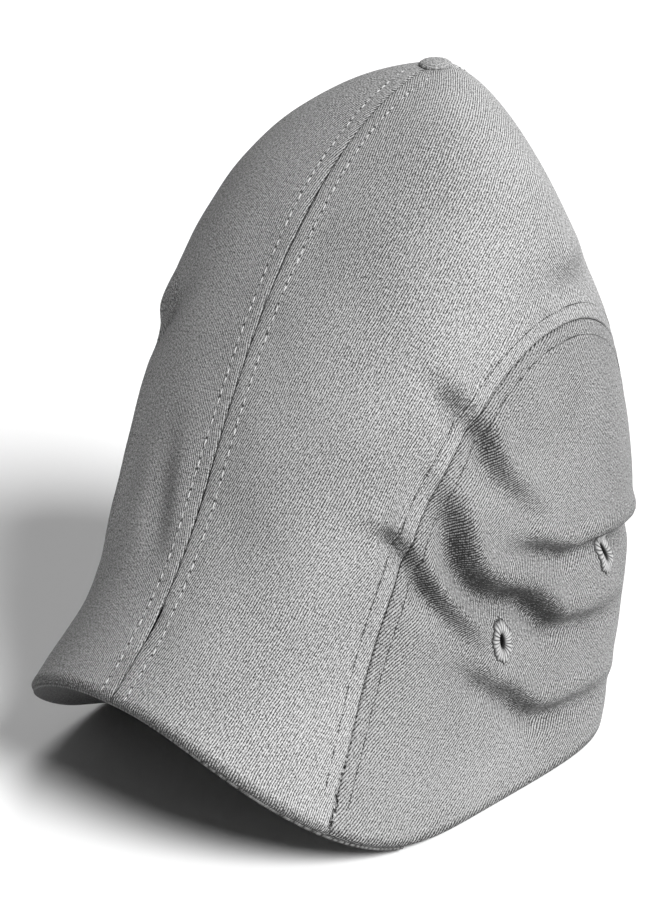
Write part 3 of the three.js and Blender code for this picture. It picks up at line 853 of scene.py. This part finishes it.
def twill(name, dark, light, spacing, slant, seams=True):
    """Cotton twill: raised diagonal lines at a set spacing over finer cross threads, with
    speckle in the yarn and slow patches of wear. Where it has seams, it carries painted shade
    beside them, at the turned hem and in the creases' valleys."""
    nodes = Nodes(name, 0.88)
    vector, u, v = nodes.uv("cloth")
    position = nodes.position()
    angle = math.radians(slant)
    waves = nodes.math("MULTIPLY", nodes.noise(vector, 32, 1), spacing * 3.0)
    wobble = nodes.math("MULTIPLY_ADD", nodes.noise(vector, 150, 2), spacing * 0.8, waves)
    across = nodes.math("MULTIPLY_ADD", u, math.sin(angle), nodes.math("MULTIPLY", v, -math.cos(angle)))
    along = nodes.math("MULTIPLY_ADD", u, math.cos(angle), nodes.math("MULTIPLY", v, math.sin(angle)))
    lines = wave(nodes, nodes.math("ADD", across, wobble), spacing)
    ribs = nodes.math("POWER", lines, 0.8)
    steps = nodes.math("MULTIPLY_ADD", across, 0.5, along)
    threads = wave(nodes, nodes.math("ADD", steps, wobble), spacing * 0.72)
    speckle = nodes.noise(vector, 1300, 1)
    soft = nodes.noise(vector, 620, 2)
    wear = nodes.noise(position, 18, 4)
    mix = nodes.math("MULTIPLY_ADD", ribs, TWILL["ribs"], nodes.math("MULTIPLY", threads, TWILL["threads"]))
    mix = nodes.math("MULTIPLY_ADD", nodes.math("SUBTRACT", speckle, 0.5), TWILL["speckle"], mix)
    mix = nodes.math("MULTIPLY_ADD", nodes.math("SUBTRACT", soft, 0.5), TWILL["soft"], mix)
    mix = nodes.math("MULTIPLY_ADD", nodes.math("SUBTRACT", wear, 0.5), TWILL["wear"], mix)
    mix = nodes.math("SUBTRACT", mix, TWILL["base"])
    if seams:
        _, seam, rim = nodes.uv("seam")
        # Painted shade in the seam's groove: darker within seam_reach millimetres of a seam.
        edge = nodes.math("MULTIPLY", nodes.math("SUBTRACT", TWILL["seam_reach"], seam), TWILL["seam"])
        mix = nodes.math("SUBTRACT", mix, nodes.math("MAXIMUM", edge, 0.0))
        # Painted shade at the turned-under hem: darker within hem_reach millimetres of the rim.
        low = nodes.math("MULTIPLY", nodes.math("SUBTRACT", TWILL["hem_reach"], rim), TWILL["hem"])
        mix = nodes.math("SUBTRACT", mix, nodes.math("MAXIMUM", low, 0.0))
        # Painted shade in the creases' valleys, from the crease attribute, broken up by noise.
        fold = nodes.add("ShaderNodeAttribute", attribute_name="crease").outputs["Fac"]
        patchy = nodes.math("MULTIPLY_ADD", nodes.noise(position, 90, 3), 1.4, 0.35)
        mix = nodes.math("MULTIPLY_ADD", nodes.math("MULTIPLY", fold, patchy), -TWILL["fold"], mix)
    clamp = nodes.add("ShaderNodeClamp")
    nodes.link(mix, clamp.inputs[0])
    nodes.colour(nodes.between(clamp.outputs[0], dark, light))
    height = nodes.math("MULTIPLY_ADD", ribs, 0.7, nodes.math("MULTIPLY", threads, 0.3))
    height = nodes.math("MULTIPLY_ADD", speckle, 0.5, height)
    nodes.bump(height, spacing * 0.22, 0.9)
    nodes.shader.inputs["Sheen Weight"].default_value = 0.03
    nodes.shader.inputs["Sheen Roughness"].default_value = 0.6
    return nodes.material


def thread(name, dark, light):
    """Spun thread: fine slanting plies, lighter on top, with a soft sheen."""
    nodes = Nodes(name, 0.62)
    position = nodes.position()
    split = nodes.add("ShaderNodeSeparateXYZ")
    nodes.link(position, split.inputs[0])
    total = nodes.math("ADD", nodes.math("ADD", split.outputs[0], split.outputs[1]), split.outputs[2])
    ply = wave(nodes, total, 0.0009)
    fuzz = nodes.noise(position, 900, 2)
    mix = nodes.math("MULTIPLY_ADD", ply, 0.4, nodes.math("MULTIPLY", fuzz, 0.7))
    nodes.colour(nodes.between(mix, dark, light))
    nodes.bump(nodes.math("ADD", ply, fuzz), 0.00012)
    nodes.shader.inputs["Sheen Weight"].default_value = 0.1
    return nodes.material


def eyelet_thread(name, dark, light):
    """Buttonhole thread: its own colour on top of each turn, with painted shade, nearly black, in
    the grooves between the turns, at the hole and in the purled outer edge."""
    nodes = Nodes(name, 0.6)
    _, ridge, share = nodes.uv("cloth")
    # Painted shade: the colour falls to near black in the grooves, at the hole and at the outer edge.
    middle = nodes.math("SUBTRACT", 1.0, nodes.math("POWER", nodes.math(
        "ABSOLUTE", nodes.math("MULTIPLY_ADD", share, 2.2, -1.1)), 3.0))
    fuzz = nodes.noise(nodes.position(), 1100, 2)
    shown = nodes.math("MULTIPLY", nodes.math("POWER", ridge, 1.6), nodes.math("MAXIMUM", middle, 0.0))
    mix = nodes.math("MULTIPLY", shown, nodes.math("MULTIPLY_ADD", fuzz, 0.8, 0.6))
    nodes.colour(nodes.between(mix, dark, light))
    nodes.bump(fuzz, 0.0001)
    return nodes.material


def woven(name, dark, light, rib_axis, period, cross):
    """A plain woven or ribbed band on its own cloth map: ribs across it and finer threads."""
    nodes = Nodes(name, 0.9)
    vector, u, v = nodes.uv("cloth")
    ribs = wave(nodes, (u, v)[rib_axis], period)
    threads = wave(nodes, (v, u)[rib_axis], cross)
    fuzz = nodes.noise(vector, 700, 3)
    mix = nodes.math("MULTIPLY_ADD", ribs, 0.4, nodes.math("MULTIPLY", threads, 0.25))
    mix = nodes.math("MULTIPLY_ADD", nodes.math("SUBTRACT", fuzz, 0.4), 0.8, mix)
    clamp = nodes.add("ShaderNodeClamp")
    nodes.link(mix, clamp.inputs[0])
    nodes.colour(nodes.between(clamp.outputs[0], dark, light))
    nodes.bump(nodes.math("ADD", ribs, threads), period * 0.2)
    return nodes.material


def board(name, colour):
    """Pale moulded board with a faint grain."""
    nodes = Nodes(name, 0.55)
    grain = nodes.noise(nodes.position(), 160, 5)
    dark = dimmed(colour, 0.82)
    nodes.colour(nodes.between(grain, dark, colour))
    nodes.bump(grain, 0.0002)
    return nodes.material


def metal(name, colour):
    """Plain pressed steel with fine scratches."""
    nodes = Nodes(name, 0.35)
    nodes.shader.inputs["Metallic"].default_value = 1
    scratch = nodes.noise(nodes.position(), 900, 4)
    nodes.colour(nodes.between(scratch, dimmed(colour, 0.8), colour))
    nodes.bump(scratch, 0.00003)
    return nodes.material


def needle_hole():
    """Near-black material for the painted shadow in a needle hole."""
    return bpy.data.materials.get("needle_hole") or thread("needle_hole", (0.004,) * 3, (0.02,) * 3)


def material(name):
    """A material by name, made when it is first asked for."""
    found = bpy.data.materials.get(name)
    if found:
        return found
    c = bpy.context.scene.cap_colours
    s = bpy.context.scene.cap_sizes
    makers = {
        "twill_crown": lambda n: twill(n, c.twill_dark, c.twill_light, 0.8 * s.twill_spacing, 88),
        # Painted shade: the side panels get a darker copy of the grey twill, dark yarn at 0.3 and light
        # yarn at 0.78.
        "twill_side": lambda n: twill(
            n, dimmed(c.twill_dark, 0.3), dimmed(c.twill_light, 0.78), s.twill_spacing, 60
        ),
        "twill_button": lambda n: twill(n, c.twill_dark, c.twill_light, s.twill_spacing, 50, False),
        # Painted shade: the cloth under the bill is the grey twill at 0.3 of its colours.
        "twill_under": lambda n: twill(
            n, dimmed(c.twill_dark, 0.3), dimmed(c.twill_light, 0.3),
            s.twill_spacing, 45, False),
        "thread_light": lambda n: thread(n, dimmed(c.thread_light, 0.55), c.thread_light),
        "thread_dark": lambda n: thread(n, dimmed(c.thread_dark, 0.5), c.thread_dark),
        "thread_eyelet": lambda n: eyelet_thread(n, dimmed(c.thread_eyelet, 0.02), c.thread_eyelet),
        "band_cotton": lambda n: woven(n, dimmed(c.band, 0.5), c.band, 0, 0.0016, 0.0008),
        "tape_cotton": lambda n: woven(n, dimmed(c.tape, 0.5), c.tape, 1, 0.0012, 0.0007),
        "elastic": lambda n: woven(n, dimmed(c.elastic, 0.3), c.elastic, 0, 0.0018, 0.0006),
        "label_satin": lambda n: woven(n, dimmed(c.label, 0.85), c.label, 1, 0.0005, 0.0005),
        "bill_board_plastic": lambda n: board(n, c.board),
        "washer_steel": lambda n: metal(n, c.steel),
    }
    return makers[name](name)


# ---- Settings -------------------------------------------------------------------------------


def length(name, description, default):
    return FloatProperty(name=name, description=description, default=default, unit="LENGTH", precision=4)


def shade(name, description, default):
    return FloatVectorProperty(
        name=name, description=description, default=default, size=3, subtype="COLOR", min=0, max=1
    )


class CapSizes(bpy.types.PropertyGroup):
    """Sizes of the cap's cloth, threads and small parts."""

    cloth_thickness: length("Cloth thickness", "Thickness of one twill panel", 0.0013)
    crease_strength: FloatProperty(
        name="Crease strength", description="How deep the worn creases are", default=1.65, min=0, max=2
    )
    twill_spacing: length("Twill spacing", "Distance between two diagonal lines", 0.00122)
    stitch_offset: length("Stitch offset", "From a seam to its topstitching", 0.00635)
    stitch_pitch: length("Stitch pitch", "From one stitch to the next on an upright seam", 0.0046)
    thread_radius: length("Thread radius", "Radius of the topstitching thread", 0.00027)
    eyelet_width: length("Eyelet width", "Across a worked eyelet", 0.0118)
    eyelet_height: length("Eyelet height", "Height of a worked eyelet", 0.0212)
    eyelet_hole_x: length("Eyelet hole half width", "Half the hole's width", 0.0011)
    eyelet_hole_z: length("Eyelet hole half height", "Half the hole's height", 0.0035)
    button_radius: length("Button radius", "Radius of the covered button", 0.0066)
    button_height: length("Button height", "Height of the covered button's dome", 0.0014)
    tape_half_width: length("Tape half width", "Half the width of the inside seam tapes", 0.0055)


class CapColours(bpy.types.PropertyGroup):
    """Colours of the cap's cloths, threads and stage."""

    twill_dark: shade("Twill, dark yarn", "Colour between the diagonal lines", (0.02, 0.02, 0.02))
    twill_light: shade("Twill, light yarn", "Colour on top of the diagonal lines", (0.5, 0.5, 0.5))
    thread_light: shade("Light thread", "Topstitching beside the centre seam", (0.7, 0.7, 0.7))
    thread_dark: shade("Dark thread", "Topstitching beside the arch seams", (0.035, 0.035, 0.035))
    thread_eyelet: shade("Eyelet thread", "Thread of the worked eyelets", (0.42, 0.42, 0.42))
    band: shade("Sweatband", "Cotton of the sweatband", (0.13, 0.13, 0.13))
    tape: shade("Seam tape", "Cotton tape over the inside seams", (0.06, 0.06, 0.06))
    elastic: shade("Elastic", "Woven elastic at the back", (0.03, 0.03, 0.03))
    label: shade("Label", "Plain woven label", (0.7, 0.7, 0.68))
    board: shade("Bill board", "Stiffening board in the bill", (0.72, 0.69, 0.62))
    steel: shade("Steel", "Washer under the button", (0.62, 0.63, 0.64))
    floor: shade("Floor", "Plain floor", (0.9, 0.9, 0.9))


class StageSizes(bpy.types.PropertyGroup):
    """Camera and lights."""

    azimuth: FloatProperty(
        name="Camera azimuth", description="Round the cap from the bill", default=math.radians(43.1),
        subtype="ANGLE")
    elevation: FloatProperty(
        name="Camera elevation", description="Above the floor", default=math.radians(25), subtype="ANGLE")
    distance: length("Camera distance", "From the camera to its target", 1.4)
    lens: FloatProperty(name="Lens", description="Focal length in millimetres", default=135.7)
    key: FloatProperty(name="Key light", description="Strength of the main light", default=5.3, min=0)
    key_azimuth: FloatProperty(
        name="Key azimuth", description="Round from the bill", default=math.radians(86), subtype="ANGLE")
    key_elevation: FloatProperty(
        name="Key elevation", description="Above the floor", default=math.radians(40), subtype="ANGLE")
    back: FloatProperty(
        name="Back light", description="Strength of the soft light behind the cap", default=1.6, min=0
    )
    key_softness: FloatProperty(
        name="Softness", description="How wide the lights look", default=math.radians(28), subtype="ANGLE")
    world: FloatProperty(name="Surround", description="Strength of the even light", default=0.09, min=0)


# ---- Operators ------------------------------------------------------------------------------


class CAP_OT_crown(bpy.types.Operator):
    """Make the two crown panels"""

    bl_idname = "cap.crown"
    bl_label = "Crown panels"

    def execute(self, context):
        for side, word in SIDES:
            piece = crown_panel(side, material("twill_crown"), context.scene.cap_sizes.cloth_thickness)
            own(piece, "grey_twill", f"{word}_crown_panel")
        return {"FINISHED"}


class CAP_OT_sides(bpy.types.Operator):
    """Make the two arched side panels"""

    bl_idname = "cap.sides"
    bl_label = "Side panels"

    def execute(self, context):
        for side, word in SIDES:
            piece = side_panel(side, material("twill_side"), context.scene.cap_sizes.cloth_thickness)
            own(piece, "grey_twill", f"{word}_side_panel")
        return {"FINISHED"}


class CAP_OT_stitches(bpy.types.Operator):
    """Make the rows of topstitching"""

    bl_idname = "cap.stitches"
    bl_label = "Topstitching"

    def execute(self, context):
        sizes = context.scene.cap_sizes
        offset = sizes.stitch_offset / MM
        for side, word in SIDES:
            front, back = centre_row_places(offset)
            light = material("thread_light")
            piece = stitch_row(f"{word}_centre_stitches", *front, side, light, sizes)
            own(piece, "light_thread", f"{word}_centre_stitch_row")
            piece = stitch_row(f"{word}_back_stitches", *back, side, light, sizes)
            own(piece, "light_thread")
            for where, sign in (("upper", 1), ("lower", -1)):
                angle, t = arch_offset(np.linspace(3, 177, 400), sign * offset)
                name = f"{word}_arch_stitches_{where}"
                piece = stitch_row(name, angle, t, side, material("thread_dark"), sizes)
                own(piece, "dark_thread", f"{word}_arch_stitch_row_{where}")
        return {"FINISHED"}


class CAP_OT_eyelets(bpy.types.Operator):
    """Make the four worked eyelets"""

    bl_idname = "cap.eyelets"
    bl_label = "Eyelets"

    def execute(self, context):
        sizes = context.scene.cap_sizes
        for side, word in SIDES:
            for where, place in EYELETS.items():
                name = f"{word}_{where}_eyelet"
                thread_ = material("thread_eyelet")
                piece = eyelet_ring(f"{name}_threads", place, side, thread_, sizes)
                own(piece, "eyelet_thread", name)
        return {"FINISHED"}


class CAP_OT_button(bpy.types.Operator):
    """Make the covered button"""

    bl_idname = "cap.button"
    bl_label = "Covered button"

    def execute(self, context):
        sizes = context.scene.cap_sizes
        low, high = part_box("crown_button")
        centre = (low + high) / 2
        base = high.z - sizes.button_height
        turn = np.linspace(0, 2 * np.pi, 96, endpoint=False)
        radius = np.array([0.0, 0.3, 0.5, 0.68, 0.82, 0.92, 0.98, 1.0, 0.98, 0.9, 0.75, 0.24, 0.22, 0.0])
        height = np.array([
            1.0, 0.97, 0.9, 0.77, 0.57, 0.3, 0.0, -0.35, -0.6, -0.65, -0.65, -0.3, -0.9, -0.9,
        ])
        gather = 1 + 0.025 * np.cos(14 * turn)[:, None] * (radius * (np.abs(height) < 0.62))[None]
        r = radius[None] * sizes.button_radius * gather
        points = np.stack([
            centre.x + r * np.cos(turn)[:, None], centre.y + r * np.sin(turn)[:, None],
            base + sizes.button_height * height[None] + 0 * r,
        ], -1)
        run = np.concatenate([[0], np.cumsum(np.hypot(np.diff(radius), np.diff(height) * 0.5))])
        flat = run[None] * sizes.button_radius
        uv = np.stack([flat * np.cos(turn)[:, None], flat * np.sin(turn)[:, None]], -1)
        quads = grid_faces(*points.shape[:2], wrap=True)[:, ::-1]
        piece = make("button_cloth", points, quads, material("twill_button"), LEFT, uv)
        merge(piece)
        own(piece, "grey_twill", "crown_button")
        return {"FINISHED"}


def merge(piece):
    """Joins the points that meet at a pole or seam."""
    work = bmesh.new()
    work.from_mesh(piece.data)
    bmesh.ops.remove_doubles(work, verts=work.verts, dist=1e-6)
    bmesh.ops.dissolve_degenerate(work, edges=work.edges, dist=1e-7)
    work.to_mesh(piece.data)
    work.free()


class CAP_OT_underside(bpy.types.Operator):
    """Make the cloth under the bill"""

    bl_idname = "cap.underside"
    bl_label = "Under the bill"

    def execute(self, context):
        points = bill_sheet(62, 0.0, 0.985, 0, 160, 30) * MM
        uv = np.stack([points[..., 0], points[..., 1] * 1.05], -1)
        quads = grid_faces(160, 30)[:, ::-1]
        piece = make("bill_under_cloth", points, quads, material("twill_under"), LEFT, uv)
        thicken(piece, 0.0012, 1.0)
        own(piece, "under_bill_twill", "under_bill_panel")
        return {"FINISHED"}


class CAP_OT_inside(bpy.types.Operator):
    """Make the sweatband, tapes, elastic and label"""

    bl_idname = "cap.inside"
    bl_label = "Band, tapes, elastic and label"

    def execute(self, context):
        self.sweatband()
        self.tapes(context.scene.cap_sizes)
        self.elastic_and_label()
        return {"FINISHED"}

    def sweatband(self):
        """A ring of cotton with a rolled top edge."""
        angle, share = np.meshgrid(
            np.linspace(0, 360, 361)[:-1], np.linspace(0, 1, 18), indexing="ij")
        roll = 0.5 * np.cos(np.pi * share) ** 8
        pucker = 0.22 * np.sin(np.radians(angle) * 61 + 2 * share) * np.sin(np.pi * share)
        points = band_point(angle, share, 0.2 - roll + pucker) * MM
        run = np.linalg.norm(np.roll(points, -1, 0) - points, axis=-1)[:, 9]
        u = np.concatenate([[0], np.cumsum(run)[:-1]])[:, None] + 0 * share
        uv = np.stack([u, share * BAND["height"] * MM], -1)
        quads = grid_faces(360, 18, wrap=True)
        piece = make("sweatband_cloth", points, quads, material("band_cotton"), LEFT, uv)
        own(thicken(piece, 0.0009), "sweatband_cotton", "sweatband")

    def tapes(self, sizes):
        """Tapes over the inside of the centre and arch seams."""
        half = sizes.tape_half_width / MM
        for name, middle, low, high in (("front", 0, 0.2, 0.962), ("back", 180, 0.1, 0.93)):
            t = np.linspace(low, high, 140)
            per_degree = np.linalg.norm(tangents(np.full_like(t, middle), t)[0], axis=-1)
            share = np.linspace(-1, 1, 9)
            angle = middle + share[:, None] * half / per_degree
            self.tape(f"{name}_seam_tape_cloth", angle, t + 0 * angle, share, f"{name}_seam_tape", LEFT)
        share = np.linspace(-1, 1, 9)
        turns = np.linspace(12.3, 167.7, 160)
        for side, word in SIDES:
            rows = [arch_offset(turns, s * half) for s in share]
            angle, t = (np.array([row[k] for row in rows]) for k in (0, 1))
            self.tape(f"{word}_arch_seam_tape_cloth", angle, t, share, f"{word}_arch_seam_tape", side)

    def tape(self, name, angle, t, share, node, side):
        bow = 0.35 * (1 - share[:, None] ** 2)
        turned = np.abs(angle)
        points = cloth(np.where(turned > 180, 360 - turned, turned), t, -3.35 - bow, side)
        points[..., 0] -= PANEL_GAP * MM * side
        points[..., 0] *= np.where((angle < 0) | (angle > 180), -1, 1)
        length_ = np.cumsum(np.linalg.norm(np.diff(points[4], axis=0), axis=-1))
        u = np.concatenate([[0], length_])
        uv = np.stack([u + 0 * angle, share[:, None] * 0.0055 + 0 * angle], -1)
        quads = grid_faces(*angle.shape)
        piece = make(name, points, quads, material("tape_cotton"), side, uv)
        own(thicken(piece, 0.0005), "seam_tape", node)

    def elastic_and_label(self):
        angle, share = np.meshgrid(np.linspace(150, 210, 90), np.linspace(0, 1, 10), indexing="ij")
        turned = np.where(angle > 180, 360 - angle, angle)
        points = cloth(turned, 0.03 + 0.04 * share, -3.95 - 0.1 * np.sin(angle * 6), LEFT, bent=False)
        points[..., 0] -= PANEL_GAP * MM
        points[..., 0] *= np.where(angle > 180, -1, 1)
        uv = np.stack([angle * 0.0017, share * 0.0117], -1)
        piece = make("back_elastic_webbing", points, grid_faces(90, 10), material("elastic"), LEFT, uv)
        own(thicken(piece, 0.0006), "elastic_webbing", "back_elastic")
        angle, share = np.meshgrid(np.linspace(172, 188, 30), np.linspace(0.25, 0.85, 16), indexing="ij")
        points = band_point(angle, share, BAND["thickness"] + 0.35) * MM
        uv = np.stack([angle * 0.0017, share * 0.034], -1)
        piece = make("size_label_cloth", points, grid_faces(30, 16), material("label_satin"), LEFT, uv)
        own(thicken(piece, 0.0003), "label_cloth", "size_label")


class CAP_OT_hidden_parts(bpy.types.Operator):
    """Finish the bill board and the button's washer, which keep their solid shapes"""

    bl_idname = "cap.hidden_parts"
    bl_label = "Bill board and washer"

    def execute(self, context):
        for node, name in (("bill_board", "bill_board_plastic"), ("button_washer", "washer_steel")):
            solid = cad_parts[node]
            solid.data.materials.clear()
            solid.data.materials.append(material(name))
        return {"FINISHED"}


def direction(azimuth, elevation):
    """Unit vector at an azimuth round from the bill and an elevation above the floor."""
    level = math.cos(elevation)
    return Vector((math.sin(azimuth) * level, -math.cos(azimuth) * level, math.sin(elevation)))


CAMERA_TARGET = Vector((-0.0054, 0.0043, 0.1288))
BACK_LIGHT = (math.radians(205), math.radians(30))  # azimuth, elevation
FLOOR_REACH = 40.0


class CAP_OT_stage(bpy.types.Operator):
    """Make the floor, the lights and the camera"""

    bl_idname = "cap.stage"
    bl_label = "Stage"

    def execute(self, context):
        stage = context.scene.cap_stage
        self.camera(context, stage)
        self.floor(context.scene.cap_colours)
        self.lamp("key_light", stage.key, stage.key_softness, stage.key_azimuth, stage.key_elevation)
        self.lamp("back_light", stage.back, stage.key_softness, *BACK_LIGHT)
        world = bpy.data.worlds.new("studio")
        world.use_nodes = True
        background = world.node_tree.nodes["Background"]
        background.inputs[0].default_value = (1, 1, 1, 1)
        background.inputs[1].default_value = stage.world
        context.scene.world = world
        context.scene.view_settings.view_transform = "Standard"
        return {"FINISHED"}

    def camera(self, context, stage):
        """A camera at an azimuth round from the bill and an elevation above the floor."""
        back = direction(stage.azimuth, stage.elevation)
        data = bpy.data.cameras.new("camera")
        data.lens = stage.lens
        data.clip_start, data.clip_end = 0.01, 120
        camera = bpy.data.objects.new("camera", data)
        camera.location = CAMERA_TARGET + back * stage.distance
        camera.rotation_euler = back.to_track_quat("Z", "Y").to_euler()
        context.scene.collection.objects.link(camera)
        context.scene.camera = camera

    def lamp(self, name, power, softness, azimuth, elevation):
        """An even, soft light from a direction."""
        data = bpy.data.lights.new(name, "SUN")
        data.energy, data.angle = power, softness
        lamp = bpy.data.objects.new(name, data)
        lamp.rotation_euler = direction(azimuth, elevation).to_track_quat("Z", "Y").to_euler()
        bpy.context.scene.collection.objects.link(lamp)

    def floor(self, colours):
        """A wide flat sheet, at the height the cap stands on."""
        points = [(x * FLOOR_REACH, y * FLOOR_REACH, 0) for x, y in ((-1, -1), (1, -1), (1, 1), (-1, 1))]
        mesh = bpy.data.meshes.new("floor")
        mesh.from_pydata(points, [], [(0, 1, 2, 3)])
        nodes = Nodes("floor_paint", 0.9)
        grain = nodes.noise(nodes.position(), 40, 3)
        nodes.colour(nodes.between(grain, dimmed(colours.floor, 0.985), tuple(colours.floor)))
        mesh.materials.append(nodes.material)
        floor = bpy.data.objects.new("floor", mesh)
        bpy.context.scene.collection.objects.link(floor)
        floor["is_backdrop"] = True


class CAP_PT_panel(bpy.types.Panel):
    """Buttons for each piece, and the sizes and colours"""

    bl_idname = "CAP_PT_panel"
    bl_label = "Duckbill Flat Cap"
    bl_space_type = "VIEW_3D"
    bl_region_type = "UI"
    bl_category = "Cap"

    def draw(self, context):
        layout = self.layout
        for operator in OPERATORS:
            layout.operator(operator.bl_idname)
        for group in (context.scene.cap_sizes, context.scene.cap_colours, context.scene.cap_stage):
            box = layout.box()
            for name in group.bl_rna.properties.keys():
                if name not in ("rna_type", "name"):
                    box.prop(group, name)


OPERATORS = (
    CAP_OT_stage, CAP_OT_crown, CAP_OT_sides, CAP_OT_stitches, CAP_OT_eyelets, CAP_OT_button,
    CAP_OT_underside, CAP_OT_inside, CAP_OT_hidden_parts,
)
GROUPS = (("cap_sizes", CapSizes), ("cap_colours", CapColours), ("cap_stage", StageSizes))


def register():
    for name, group in GROUPS:
        bpy.utils.register_class(group)
        setattr(bpy.types.Scene, name, PointerProperty(type=group))
    for operator in OPERATORS:
        bpy.utils.register_class(operator)
    bpy.utils.register_class(CAP_PT_panel)


def unregister():
    bpy.utils.unregister_class(CAP_PT_panel)
    for operator in reversed(OPERATORS):
        bpy.utils.unregister_class(operator)
    for name, group in reversed(GROUPS):
        delattr(bpy.types.Scene, name)
        bpy.utils.unregister_class(group)


def box_now():
    """The shown object's lowest and highest corners, as plain lists."""
    bpy.context.view_layer.update()
    return [list(corner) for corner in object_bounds()]


def main():
    solid_box = box_now()
    register()
    for operator in OPERATORS:
        family, name = operator.bl_idname.split(".")
        getattr(getattr(bpy.ops, family), name)()
    {"cad": solid_box, "visual": box_now()}


if __name__ == "__main__":
    main()
